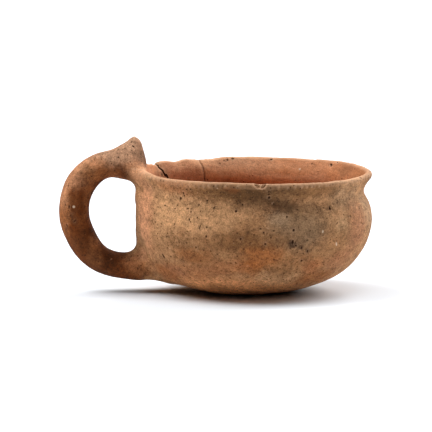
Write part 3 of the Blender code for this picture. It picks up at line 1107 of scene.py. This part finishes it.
@dataclass(frozen=True)
class Drift:
    """A tone that comes and goes over the clay."""

    tint: Colour
    size: float
    rough: float
    low: float  # the noise at which the tone starts to show
    high: float
    share: float
    shift: Triple = (0, 0, 0)

    def over(self, sheet: Sheet, colour: Source, place: Source) -> Socket:
        """Lays the tone over a colour.

        Args:
            sheet: The material's sheet.
            colour: The colour so far.
            place: The place on the cup.

        Returns:
            The new colour.
        """
        if any(self.shift):
            place = sheet.vector("ADD", place, self.shift)
        drift = sheet.noise(place, self.size, 3.0, self.rough)
        return sheet.mix(sheet.band(drift, self.low, self.high, (0, self.share)), colour, self.tint)


@dataclass(frozen=True)
class Mark:
    """A tone that shows where the mesh stores a mask."""

    mask: str
    share: float
    tint: Colour

    def over(self, sheet: Sheet, colour: Source) -> Socket:
        """The colour with the mark on it."""
        return sheet.laid(colour, self.tint, sheet.mask(self.mask), self.share)


def new_paint(name: str) -> tuple[bpy.types.Material, Sheet]:
    """Starts a material.

    Args:
        name: The material's name.

    Returns:
        The material, and a sheet on it.
    """
    paint = bpy.data.materials.new(name)
    paint.use_nodes = True
    return paint, Sheet(paint.node_tree)


def finish_clay(sheet: Sheet, colour: Source, roughness: Source, gloss: float, height: Source, depth: float) -> None:
    """Gives a clay's shader its inputs.

    Args:
        sheet: The material's sheet.
        colour: The colour.
        roughness: The roughness.
        gloss: The specular level.
        height: The relief.
        depth: How deep the relief is.
    """
    shader = sheet.tree.nodes["Principled BSDF"]
    sheet.put(shader.inputs["Base Color"], colour)
    sheet.put(shader.inputs["Roughness"], roughness)
    shader.inputs["Specular IOR Level"].default_value = gloss
    bump = sheet.node("Bump", {"Strength": 1.0, "Distance": depth, "Height": height})
    sheet.put(shader.inputs["Normal"], bump.outputs["Normal"])


@dataclass(frozen=True)
class FiredClay:
    """The cup's skin. A pair of numbers is for outside and inside, or for a noise's low and high."""

    fire_and_light_patches: tuple[FireAndLightPatch, ...]
    ragged: tuple[Pair, ...] = ((24 * MM, 6 * MM), (7 * MM, 6 * MM), (1.8 * MM, 3 * MM))
    bowl: tuple[Drift, ...] = (
        Drift(SAND, 26 * MM, 0.55, 0.4, 0.7, 0.5), Drift(RUST, 15 * MM, 0.6, 0.5, 0.75, 0.5, (0.3, 0.1, 0.7)))
    strap: Drift = Drift(STRAP_PALE, 17 * MM, 0.55, 0.4, 0.7, 0.3)
    lining: Drift = Drift(DULL_PINK, 14 * MM, 0.6, 0.35, 0.75, 0.6)
    sherd: Mark = Mark("sherd", 0.6, DULL_PINK)
    grain: float = 0.8 * MM
    grain_contrast: Pair = (2.3, 1.15)
    grain_depth: float = 0.24 * MM
    speck_spacing: float = 2.0 * MM
    speck_share: Pair = (0.80, 0.25)
    dark_specks: float = 0.72
    pale_specks: float = 0.4
    stroke: float = 1.3 * MM
    stroke_slope: float = 0.22  # of the bowl's strokes
    stroke_squeeze: Pair = (0.1, 0.07)  # along the strokes of the bowl and of the handle
    stroke_shade: Pair = (0.94, 1.06)
    stroke_depth: float = 0.5  # as a share of the grain's
    hollow_dark: float = 0.6
    # the ridge mark is partly worn edges and partly painted highlight on edges; the lip mark is painted highlight
    # along the top of the lip
    wear: tuple[Mark, ...] = (Mark("ridge", 0.55, WORN_AND_HIGHLIGHT), Mark("lip", 0.35, WORN_AND_HIGHLIGHT))
    marks: tuple[Mark, ...] = (
        Mark("grit", 0.3, WORN_AND_HIGHLIGHT), Mark("seam", 0.35, DIRT_AND_SHADE), Mark("pit", 0.85, DIRT_AND_SHADE), Mark("lime", 0.8, LIME))
    roughness: Pair = (0.82, 0.98)
    gloss: float = 0.08

    def build(self, effects: ClayEffects, skin: Skin) -> bpy.types.Material:
        """Makes the material.

        Args:
            effects: The shared node groups.
            skin: The cup's surface, which places the colour patches.

        Returns:
            The material.
        """
        paint, sheet = new_paint("fired_clay_skin")
        place = sheet.node("TexCoord").outputs["Object"]
        inside, strap = sheet.mask("inside"), sheet.mask("strap")
        colour = BUFF
        for drift in self.bowl:
            colour = drift.over(sheet, colour, place)
        colour = sheet.mix(strap, colour, self.strap.over(sheet, STRAP, place))
        lining = self.sherd.over(sheet, self.lining.over(sheet, LINING, place))
        ragged = self.ragged_place(sheet, place)
        for tone_patch in self.fire_and_light_patches:
            patch = sheet.group(effects.patch, tone_patch.form(ragged, skin)).outputs["Mask"]
            under = lining if tone_patch.within else colour
            over = sheet.laid(under, tone_patch.tint, patch, tone_patch.strength)
            lining, colour = (over, colour) if tone_patch.within else (lining, over)
        streak = self.streaks(sheet, place, strap, effects)
        grain = sheet.group(effects.grain, {
            "Place": place, "Grain": self.grain, "Contrast": sheet.band(inside, 0.0, 1.0, self.grain_contrast),
            "Spacing": self.speck_spacing, "Specks": sheet.band(inside, 0.0, 1.0, self.speck_share)})
        colour = sheet.scaled(sheet.mix(inside, colour, lining), grain.outputs["Shade"])
        colour = sheet.scaled(colour, sheet.band(streak, 0.0, 1.0, self.stroke_shade))
        colour = self.marked(sheet, colour, place, grain, effects)
        height = sheet.plus(grain.outputs["Height"], sheet.times(streak, self.stroke_depth))
        roughness = sheet.band(grain.outputs["Shade"], 0.6, 1.4, self.roughness)
        finish_clay(sheet, colour, roughness, self.gloss, height, self.grain_depth)
        return paint

    def ragged_place(self, sheet: Sheet, place: Source) -> Socket:
        """The place, pushed about so that soft patches get ragged edges.

        Args:
            sheet: The material's sheet.
            place: The place on the cup.

        Returns:
            The moved place.
        """
        moved = place
        for size, push in self.ragged:
            drift = sheet.vector("SUBTRACT", sheet.noise_node(place, size).outputs["Color"], (0.5, 0.5, 0.5))
            moved = sheet.vector("ADD", moved, sheet.scaled(drift, push))
        return moved

    def streaks(self, sheet: Sheet, place: Source, strap: Source, effects: ClayEffects) -> Socket:
        """Wiping strokes: nearly level round the bowl, and along the loop on the handle.

        Args:
            sheet: The material's sheet.
            place: The place on the cup.
            strap: The mask of the handle.
            effects: The shared node groups.

        Returns:
            A value round 0.5.
        """
        x, y, z = sheet.node("SeparateXYZ", {"Vector": place}).outputs
        level, along = self.stroke_squeeze
        slope = sheet.plus(z, sheet.times(x, self.stroke_slope))
        round_bowl = sheet.node("CombineXYZ", {"X": sheet.times(x, level), "Y": sheet.times(y, level), "Z": slope})
        across = sheet.node("CombineXYZ", {
            "X": sheet.math("SUBTRACT", x, LOOP_CENTRE[0]), "Y": sheet.math("SUBTRACT", z, LOOP_CENTRE[1])})
        reach = sheet.node("VectorMath", {0: across.outputs[0]}, operation="LENGTH").outputs["Value"]
        round_loop = sheet.node("CombineXYZ", {"X": reach, "Y": y, "Z": sheet.times(sheet.plus(x, z), along)})
        bowl_streak, loop_streak = (
            sheet.group(effects.wiping, {"Place": way.outputs[0], "Stroke": self.stroke}).outputs["Streak"]
            for way in (round_bowl, round_loop))
        return sheet.node("Mix", {0: strap, 2: bowl_streak, 3: loop_streak}, data_type="FLOAT").outputs[0]

    def marked(self, sheet: Sheet, colour: Source, place: Source, grain: Node, effects: ClayEffects) -> Socket:
        """The colour with its darkened hollows, its pale edges and lip (partly worn, partly painted highlight),
        specks and marks.

        Args:
            sheet: The material's sheet.
            colour: The colour so far.
            place: The place on the cup.
            grain: The placed grain group.
            effects: The shared node groups.

        Returns:
            The finished colour.
        """
        hollow_dark = sheet.group(effects.hollow_darkening, {"Place": place, "Hollow": sheet.mask("hollow"), "Amount": self.hollow_dark})
        colour = sheet.mix(hollow_dark.outputs["Mask"], colour, DIRT_AND_SHADE)
        for mark in self.wear:
            colour = mark.over(sheet, colour)
        colour = sheet.laid(colour, DIRT_AND_SHADE, grain.outputs["Dark"], self.dark_specks)
        pale = sheet.mix(sheet.mask("strap"), WORN_AND_HIGHLIGHT, STRAP_PALE)
        colour = sheet.laid(colour, pale, grain.outputs["Pale"], self.pale_specks)
        for mark in self.marks:
            colour = mark.over(sheet, colour)
        return colour


@dataclass(frozen=True)
class BrokenClay:
    """The rougher clay where the wall has cracked or a flake has come off."""

    tint: Colour = tone(154, 115, 84)
    grain: float = 0.6 * MM
    grain_contrast: float = 1.8
    grain_depth: float = 0.25 * MM
    speck_spacing: float = 2.2 * MM
    speck_share: float = 0.6
    pale_specks: float = 0.5
    hollow_dark: float = 0.9
    # pale broken edges: partly worn, partly painted highlight
    wear: Mark = Mark("ridge", 0.6, WORN_AND_HIGHLIGHT)
    # the seam mark on the broken faces is partly dirt in the joint and partly painted shade deep in the crack
    seam: Mark = Mark("seam", 0.92, DIRT_AND_SHADE)
    roughness: float = 0.95
    gloss: float = 0.08

    def build(self, effects: ClayEffects) -> bpy.types.Material:
        """Makes the material.

        Args:
            effects: The shared node groups.

        Returns:
            The material.
        """
        paint, sheet = new_paint("broken_clay")
        place = sheet.node("TexCoord").outputs["Object"]
        grain = sheet.group(effects.grain, {
            "Place": place, "Grain": self.grain, "Contrast": self.grain_contrast,
            "Spacing": self.speck_spacing, "Specks": self.speck_share})
        red, green, blue, _ = self.tint
        colour = sheet.scaled((red, green, blue), grain.outputs["Shade"])
        hollow_dark = sheet.group(effects.hollow_darkening, {"Place": place, "Hollow": sheet.mask("hollow"), "Amount": self.hollow_dark})
        colour = self.wear.over(sheet, sheet.mix(hollow_dark.outputs["Mask"], colour, DIRT_AND_SHADE))
        colour = self.seam.over(sheet, sheet.laid(colour, WORN_AND_HIGHLIGHT, grain.outputs["Pale"], self.pale_specks))
        finish_clay(sheet, colour, self.roughness, self.gloss, grain.outputs["Height"], self.grain_depth)
        return paint


# ---- the cup


@dataclass
class ClayCup:
    """The whole cup: its fine surface, the potter's marks, and what age has done to it."""

    voxel: float = 1.45 * MM
    weld: float = 0.01 * MM
    sliver: float = 0.02 * MM  # edges that the cuts leave, and that are closed up
    sharp: float = math.radians(50)
    evening_rounds: int = 12
    split_rounds: int = 3
    settling_rounds: int = 2
    lip_edge: float = 0.62 * MM  # the length of the mesh's edges on the lip, and so on
    mark_edge: float = 0.33 * MM
    crack_edge: float = 0.5 * MM
    fine_lip: Triple = (3.5 * MM, 60 * MM, 76 * MM)  # its depth, least and greatest radius
    crack_reach: float = 1.6 * MM
    pit_count: int = 110
    grit_count: int = 90
    grit_height: float = 0.12 * MM
    lining_scatter: tuple[float, float, int] = (72, 60, 3)  # its radius and top in mm, and one mark kept in how many
    chip_count: int = 16
    chip_width: Pair = (1.2, 2.8)  # mm
    chip_level: Pair = (72.6, 73.6)  # mm
    chip_depth: float = 0.35 * MM
    first_chip: float = -75.0  # degrees
    lining_end: Pair = (74 * MM, 77 * MM)  # the radius and the height where the lining ends
    strap_start: Pair = (72 * MM, 75 * MM)  # the radius and the height where the handle starts
    unevenness: tuple[tuple, ...] = (  # height, ripple and turn, in mm
        (0.34, 27, 1.7), (0.20, 12, 5.2), (0.07, (5, 5, 3.4), 9.4), (0.045, 1.9, 2.6))
    stroke_depth: float = 0.06  # mm
    stroke_slope: float = 0.18
    bowl_stroke: Triple = (16 * MM, 16 * MM, 2.2 * MM)
    strap_stroke: Triple = (2.6 * MM, 2.6 * MM, 22 * MM)
    strap_stroke_share: float = 1.3
    worn_lip: float = 5 * MM  # how far down the wear of the lip reaches
    nibbles: tuple[Triple, ...] = ((0.16, 8.5, 4.4), (0.10, 2.3, 6.1))  # as the unevenness
    sherd_shift: float = 0.5 * MM  # how far out the sherd stands at the crack
    sherd_turn: Pair = (math.radians(130), math.radians(16))  # where that starts, and over what
    seam_width: float = 0.9 * MM
    break_reach: float = 2.2 * MM
    full_bend: float = 500  # per metre
    ridge_off_lip: float = 0.4
    seed: int = 1550
    draw: random.Random = field(init=False)
    piece: bpy.types.Object = field(init=False)
    skin: Skin = field(init=False)
    pits: list[Pit] = field(init=False)
    grits: list[Pit] = field(init=False)

    def build(self) -> bpy.types.Object:
        """Makes the cup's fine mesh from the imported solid.

        Returns:
            The cup's object.
        """
        self.piece = placed("clay_cup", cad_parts[CUP_NODE].data.copy())
        self.draw = random.Random(self.seed)
        self.even_out()
        self.skin = Skin(self.tree_of_mesh())
        self.pits = [*NAMED_PITS, *self.scattered(self.pit_count, proud=False)]
        self.grits = self.scattered(self.grit_count, proud=True)
        self.refine()
        self.model_surface()
        self.skin = Skin(self.tree_of_mesh())
        self.break_clay()
        self.set_masks()
        return self.piece

    def tree_of_mesh(self) -> BVHTree:
        """Makes a search tree over the piece's present mesh.

        Returns:
            The tree.
        """
        form = bmesh.new()
        form.from_mesh(self.piece.data)
        tree = BVHTree.FromBMesh(form)
        form.free()
        return tree

    def even_out(self) -> None:
        """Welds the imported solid, remeshes it evenly and smooths away its flat faces."""
        form = bmesh.new()
        form.from_mesh(self.piece.data)
        bmesh.ops.remove_doubles(form, verts=form.verts, dist=self.weld)
        form.to_mesh(self.piece.data)
        form.free()
        remesh = self.piece.modifiers.new("even", "REMESH")
        remesh.mode = "VOXEL"
        remesh.voxel_size = self.voxel
        mesh = bake_modifiers(self.piece)
        move_points(mesh, relaxed(mesh_points(mesh), mesh_edges(mesh), self.evening_rounds))

    def scattered(self, count: int, proud: bool) -> list[Pit]:
        """Pits or grits strewn over the whole skin, fewer on the lining.

        Args:
            count: How many are drawn.
            proud: Whether they are grits that stand proud.

        Returns:
            The marks.
        """
        mesh = self.piece.data
        lining_radius, lining_top, every = self.lining_scatter
        made = []
        for number in range(count):
            corner = mesh.vertices[self.draw.randrange(len(mesh.vertices))]
            x, y, z = corner.co / MM
            radius = (0.24 + 0.3 * self.draw.random() ** 2) * MM
            depth = -self.grit_height if proud else radius * self.draw.uniform(0.8, 1.3)
            length = 1 + 1.2 * self.draw.random() ** 2
            turn = self.draw.uniform(0, math.pi)
            lined = math.hypot(x, y) < lining_radius and corner.normal.dot(Vector(BOWL_MIDDLE) - corner.co) > 0
            if not lined or (number % every == 0 and z < lining_top):
                made.append(Pit(HandleSpot(x, y, z), radius, depth, length, turn))
        return made

    def wanted_edge(self, points: Array, marks: Array, reach: Array) -> Array:
        """The edge length that the surface needs at each point.

        Args:
            points: Rows of x, y, z.
            marks: Places of small marks.
            reach: The radius of each mark.

        Returns:
            One length for each point.
        """
        wanted = np.full(len(points), 2 * self.voxel)
        deep, least, greatest = self.fine_lip
        radius = radii(points)
        wanted[(points[:, 2] > LIP_HEIGHT - deep) & (radius > least) & (radius < greatest)] = self.lip_edge
        wall, flat = on_wall(points), unrolled(points)
        for crack in CRACKS:
            wanted[wall & (crack.distance(flat) < self.crack_reach)] = self.crack_edge
        for place, size in zip(marks, reach):
            close = np.flatnonzero(np.abs(points[:, 0] - place[0]) < 3 * size)
            gap = np.linalg.norm(points[close] - place, axis=1)
            wanted[close[gap < 1.6 * size + 0.2 * MM]] = self.mark_edge
        return wanted

    def refine(self) -> None:
        """Splits long edges wherever a mark, a crack or the lip needs a finer surface."""
        marks = [*self.pits, *self.grits, *LIME_SPECKS]
        places = np.array([mark.spot.find(self.skin)[0] for mark in marks])
        reach = np.array([mark.radius * mark.length for mark in marks])
        form = bmesh.new()
        form.from_mesh(self.piece.data)
        bmesh.ops.triangulate(form, faces=form.faces)
        points = np.array([corner.co for corner in form.verts])
        triangles = np.array([[corner.index for corner in face.verts] for face in form.faces])
        form.free()
        for _ in range(self.split_rounds):
            points, triangles = finer(points, triangles, lambda at: self.wanted_edge(at, places, reach))
        mesh = bpy.data.meshes.new("clay_cup")
        mesh.from_pydata(points, [], triangles)
        move_points(mesh, relaxed(points, mesh_edges(mesh), self.settling_rounds))
        mesh.shade_smooth()
        self.piece.data = mesh

    def wall_side(self, points: Array, normals: Array) -> Array:
        """How far each point belongs to the inside of the bowl, from 0 to 1.

        Args:
            points: Rows of x, y, z.
            normals: The surface's normal at each point.

        Returns:
            One value for each point.
        """
        to_middle = np.array(BOWL_MIDDLE) - points
        to_middle /= np.linalg.norm(to_middle, axis=1)[:, None]
        facing = eased((np.einsum("ij,ij->i", normals, to_middle) + 0.25) / 0.5)
        radius, top = self.lining_end
        return facing * eased((radius - radii(points)) / (2 * MM)) * eased((top - points[:, 2]) / (2 * MM))

    def strap_share(self, points: Array) -> Array:
        """How far each point belongs to the handle, from 0 to 1.

        Args:
            points: Rows of x, y, z.

        Returns:
            One value for each point.
        """
        radius, top = self.strap_start
        above = eased((points[:, 2] - top) / (4 * MM)) * (points[:, 0] < -55 * MM)
        return np.maximum(eased((radii(points) - radius) / (8 * MM)), above)

    def mark_profile(self, points: Array, pit: Pit) -> tuple[Array, Array]:
        """Which points a pit reaches, and how deep into it they are.

        Args:
            points: Rows of x, y, z.
            pit: The pit.

        Returns:
            The indices of the points, and a value from 0 at its edge to 1 at its floor.
        """
        centre, normal = pit.spot.find(self.skin)
        side = normal.orthogonal().normalized()
        side.rotate(Matrix.Rotation(pit.turn, 3, normal))
        reach = 1.5 * pit.radius * pit.length
        close = np.flatnonzero(np.abs(points - np.array(centre)).max(axis=1) < reach)
        local = points[close] - np.array(centre)
        along, across, out = (local @ np.array(way) for way in (side, normal.cross(side), normal))
        size = np.sqrt((along / pit.length) ** 2 + across**2 + (0.4 * out) ** 2) / pit.radius
        return close, eased((1.25 - size) / 0.75)

    def strokes(self, points: Array) -> Array:
        """Wiping strokes: nearly level round the bowl, and along the loop on the handle.

        Args:
            points: Rows of x, y, z.

        Returns:
            One value for each point, from about -1 to 1.
        """
        x, y, z = points.T
        strap = self.strap_share(points)
        loop = np.hypot(x - LOOP_CENTRE[0], z - LOOP_CENTRE[1])
        on_bowl = ripples(np.column_stack([x, y, z + self.stroke_slope * x]), self.bowl_stroke, 3.3)
        on_strap = ripples(np.column_stack([loop, y, x + z]), self.strap_stroke, 8.1)
        return on_bowl * (1 - strap) + self.strap_stroke_share * on_strap * strap

    def model_surface(self) -> None:
        """Moves the skin: uneven building, wiping strokes, pits and grits, a nibbled lip and a lifted sherd."""
        mesh = self.piece.data
        points, normals = mesh_points(mesh), mesh_normals(mesh)
        lumps = sum(height * ripples(points, np.array(size) * MM, turn) for height, size, turn in self.unevenness)
        rise = (lumps + self.stroke_depth * self.strokes(points)) * MM
        for pit in (*self.pits, *self.grits, *LIME_SPECKS):
            close, share = self.mark_profile(points, pit)
            rise[close] -= pit.depth * share
        wall = np.flatnonzero(on_wall(points))
        for crack in CRACKS:
            if crack.cut is Cut.GROOVE:
                rise[wall] -= crack.groove(unrolled(points[wall]))
        moved = points + normals * rise[:, None]
        for push in HAND_PUSHES:
            moved += push.moves(points)
        moved += self.lip_moves(points)
        low, high = (np.array(corner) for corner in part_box(CUP_NODE))
        move_points(mesh, np.clip(moved, low, high))

    def lip_moves(self, points: Array) -> Array:
        """How the lip and the sherd move: worn unevenly, and the sherd set back a little high.

        Args:
            points: Rows of x, y, z.

        Returns:
            One move for each point.
        """
        lip = eased((points[:, 2] - LIP_HEIGHT + self.worn_lip) / self.worn_lip) * (1 - self.strap_share(points))
        length = unrolled(points)[:, 0]
        wear = sum(height * line_ripples(length, size * MM, turn) for height, size, turn in self.nibbles)
        wear -= np.interp(bearings(points), *np.array(LIP_LINE).T)
        start, run = self.sherd_turn
        toward_crack = eased((length / WALL_RADIUS - start) / run)
        move = np.zeros_like(points)
        move[:, 2] = lip * wear * MM
        outward = points[:, :2] / np.maximum(radii(points), 1e-6)[:, None]
        tilt = toward_crack * self.sherd_shift - (1 - toward_crack) * 0.5 * self.sherd_shift
        move[:, :2] += outward * (in_sherd(points) * tilt)[:, None]
        return move

    def break_clay(self) -> None:
        """Cuts the open crack, takes off the flakes and chips, and closes what the cuts leave open."""
        self.cut([crack.blade(self.skin) for crack in CRACKS if crack.cut is Cut.WEDGE])
        for flakes in (*LIP_FLAKES, self.chips()):
            self.cut([flake.scoop(self.skin) for flake in flakes])
        form = bmesh.new()
        form.from_mesh(self.piece.data)
        triangulate_large(form)
        bmesh.ops.dissolve_degenerate(form, edges=form.edges, dist=self.sliver)
        fins = [face for face in form.faces if any(edge.is_boundary for edge in face.edges)
                and any(len(edge.link_faces) > 2 for edge in face.edges)]
        bmesh.ops.delete(form, geom=fins, context="FACES")
        bmesh.ops.holes_fill(form, edges=[edge for edge in form.edges if edge.is_boundary], sides=0)
        triangulate_large(form)
        log.info("open edges: %d", sum(not edge.is_manifold for edge in form.edges))
        form.to_mesh(self.piece.data)
        form.free()
        self.piece.data.shade_smooth()
        self.piece.data.set_sharp_from_angle(angle=self.sharp)

    def chips(self) -> list[Flake]:
        """Small seeded chips round the lip.

        Returns:
            The chips.
        """
        made = []
        turn = self.first_chip
        for number in range(self.chip_count):
            turn += 360 / self.chip_count * self.draw.uniform(0.6, 1.2)
            width = self.draw.uniform(*self.chip_width) * MM
            spot = BowlSpot(turn, self.draw.uniform(*self.chip_level), self.draw.choice((Face.OUTER, Face.INNER)))
            lean = self.draw.uniform(-25, 25)
            if not any(start < turn % 360 < end for start, end in UNCHIPPED):
                made.append(Flake(spot, width, width * 0.7, self.chip_depth, lean=lean, seed=float(number)))
        return made

    def cut(self, tools: list[Solid]) -> None:
        """Takes solids out of the cup, and gives the new faces the broken-clay material.

        Args:
            tools: The solids, which are freed.
        """
        joined = bpy.data.meshes.new("cutter")
        whole = bmesh.new()
        for tool in tools:
            tool.to_mesh(joined)
            whole.from_mesh(joined)
            tool.free()
        for face in whole.faces:
            face.material_index = BROKEN
        whole.to_mesh(joined)
        whole.free()
        cutter = placed("cutter", joined)
        for thing in (cutter, self.piece):
            while len(thing.data.materials) <= BROKEN:
                thing.data.materials.append(None)
        change = self.piece.modifiers.new("cut", "BOOLEAN")
        change.operation = "DIFFERENCE"
        change.solver = "EXACT"
        change.object = cutter
        bake_modifiers(self.piece)
        bpy.data.objects.remove(cutter)

    def set_masks(self) -> None:
        """Stores what the materials need to know about each place on the skin."""
        mesh = self.piece.data
        points = mesh_points(mesh)
        wall, flat, bend = on_wall(points), unrolled(points), bending(mesh)
        gap = np.minimum.reduce([crack.distance(flat) for crack in CRACKS])
        broken = np.zeros(len(points), dtype=bool)
        for face in mesh.polygons:
            if face.material_index == BROKEN:
                broken[list(face.vertices)] = True
        seam = np.maximum(eased(1.4 - gap / self.seam_width), broken & (gap < self.break_reach))
        lip = wall & (points[:, 2] > LIP_HEIGHT - 3 * MM)
        masks = {
            "inside": self.wall_side(points, mesh_normals(mesh)),
            "strap": self.strap_share(points),
            "sherd": in_sherd(points),
            "seam": seam * wall,
            "pit": self.mark_share(points, self.pits),
            "grit": self.mark_share(points, self.grits),
            "lime": self.mark_share(points, LIME_SPECKS),
            # ridge is partly worn edges and partly painted highlight; lip is painted highlight along the lip's top
            "ridge": eased(bend / self.full_bend) * np.where(lip, 1.0, self.ridge_off_lip),
            "lip": self.lip_highlight_share(points),
            "hollow": eased(-bend / self.full_bend),
        }
        for name, values in masks.items():
            set_mask(mesh, name, values)

    def mark_share(self, points: Array, marks: Sequence[Pit]) -> Array:
        """How far each point lies in one of some marks.

        Args:
            points: Rows of x, y, z.
            marks: The marks.

        Returns:
            One value for each point, from 0 to 1.
        """
        share = np.zeros(len(points))
        for mark in marks:
            close, depth = self.mark_profile(points, mark)
            share[close] = np.maximum(share[close], depth)
        return share**0.6

    def lip_highlight_share(self, points: Array) -> Array:
        """How close each point is to the very top of the lip, where a painted highlight goes.

        Args:
            points: Rows of x, y, z.

        Returns:
            One value for each point, from 0 to 1.
        """
        step = 3  # degrees
        count = 360 // step + 1
        wall = on_wall(points) & (self.strap_share(points) < 0.5)
        turn = bearings(points)
        top = np.zeros(count)
        np.maximum.at(top, (turn[wall] // step).astype(int) + count // 2, points[wall, 2])
        local = np.interp(turn, (np.arange(count) + 0.5) * step - 180, top)
        return eased((points[:, 2] - local + 1.7 * MM) / (1.6 * MM)) * wall

    def dress(self, effects: ClayEffects) -> None:
        """Gives the skin and the breaks their materials."""
        self.piece.data.materials[0] = FiredClay(FIRE_AND_LIGHT_PATCHES).build(effects, self.skin)
        self.piece.data.materials[BROKEN] = BrokenClay().build(effects)


# ---- the studio


def turned(toward: Vector) -> Euler:
    """The turn of a lamp or camera that stands in a direction and looks back."""
    return (-toward).to_track_quat("-Z", "Y").to_euler()


@dataclass(frozen=True)
class Lamp:
    """A broad soft lamp, far enough away to light the whole floor evenly."""

    name: str
    toward: Triple  # from the cup to the lamp
    spread: float  # how wide the lamp looks from the cup, in degrees
    power: float

    def build(self) -> None:
        """Makes the lamp."""
        lamp = bpy.data.lights.new(self.name, "SUN")
        lamp.energy = self.power
        lamp.angle = math.radians(self.spread)
        placed(self.name, lamp).rotation_euler = turned(Vector(self.toward))


@dataclass(frozen=True)
class FloorPaper:
    """The table's pale paper, with one tone for the light that it throws back and one for how it shows."""

    bounce: Colour = (0.85, 0.85, 0.85, 1)
    shown: Colour = (0.72, 0.75, 0.785, 1)
    roughness: float = 0.9

    def build(self) -> bpy.types.Material:
        """Makes the material.

        Returns:
            The material.
        """
        paint, sheet = new_paint("floor_paper")
        shader = sheet.tree.nodes["Principled BSDF"]
        shader.inputs["Roughness"].default_value = self.roughness
        seen = sheet.node("LightPath").outputs["Is Camera Ray"]
        sheet.put(shader.inputs["Base Color"], sheet.mix(seen, self.bounce, self.shown))
        return paint


@dataclass
class Studio:
    """A pale table, soft lamps and the camera."""

    view_elevation: float = math.radians(7.0)
    view_distance: float = 6.0
    view_width_share: float = 1.380
    view_shift: Triple = (0.3 * MM, 0, -1.4 * MM)  # from the cup's middle
    sensor: float = 36.0
    floor_radius: float = 20.0
    air: Pair = (0.02, 0.95)  # how bright the backdrop is as a light, and to the eye
    lamps: tuple[Lamp, ...] = (
        Lamp("right", (0.522, 0.668, 0.530), 45, 4.1),
        Lamp("left", (-0.560, 0.150, 0.815), 45, 2.9),
        Lamp("overhead", (0.0, 0.0, 1.0), 50, 1.6),
        Lamp("front", (0.321, -0.557, 0.766), 60, 0.33),
    )

    def build(self) -> None:
        """Sets up the floor, the lights and the camera."""
        low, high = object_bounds()
        self.make_floor()
        self.make_air()
        for lamp in self.lamps:
            lamp.build()
        self.make_camera((Vector(low) + Vector(high)) / 2, high[0] - low[0])

    def make_floor(self) -> None:
        """A wide pale floor."""
        form = bmesh.new()
        bmesh.ops.create_circle(form, cap_ends=True, radius=self.floor_radius, segments=64)
        mesh = bpy.data.meshes.new("floor")
        form.to_mesh(mesh)
        form.free()
        floor = placed("floor", mesh)
        mesh.materials.append(FloorPaper().build())
        floor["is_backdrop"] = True

    def make_air(self) -> None:
        """A pale backdrop that lights the cup only faintly."""
        world = bpy.data.worlds.new("studio_air")
        world.use_nodes = True
        sheet = Sheet(world.node_tree)
        light, sight = self.air
        seen = sheet.node("LightPath").outputs["Is Camera Ray"]
        level = sheet.node("MapRange", {"Value": seen, "To Min": light, "To Max": sight})
        background = world.node_tree.nodes["Background"]
        background.inputs["Color"].default_value = (1, 1, 1, 1)
        sheet.put(background.inputs["Strength"], level.outputs["Result"])
        bpy.context.scene.world = world

    def make_camera(self, middle: Vector, length: float) -> None:
        """A long lens, a little above the rim.

        Args:
            middle: The cup's middle.
            length: The cup's length.
        """
        lens = bpy.data.cameras.new("camera")
        lens.sensor_width = self.sensor
        lens.lens = self.sensor * self.view_distance / (length * self.view_width_share)
        camera = placed("camera", lens)
        back = Vector((0, -math.cos(self.view_elevation), math.sin(self.view_elevation)))
        camera.location = middle + Vector(self.view_shift) + back * self.view_distance
        camera.rotation_euler = turned(back)
        bpy.context.scene.camera = camera
        bpy.context.scene.view_settings.view_transform = "Standard"


def main() -> None:
    """Builds the cup, then the studio round it."""
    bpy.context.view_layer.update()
    cup = ClayCup()
    piece = cup.build()
    cup.dress(ClayEffects.made())
    log.info("%s: %d vertices, %d faces", piece.name, len(piece.data.vertices), len(piece.data.polygons))
    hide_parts(CUP_NODE)
    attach(piece, "root")
    Studio().build()


if __name__ == "__main__":
    logging.basicConfig(level=logging.INFO, format="%(name)s: %(message)s")
    main()
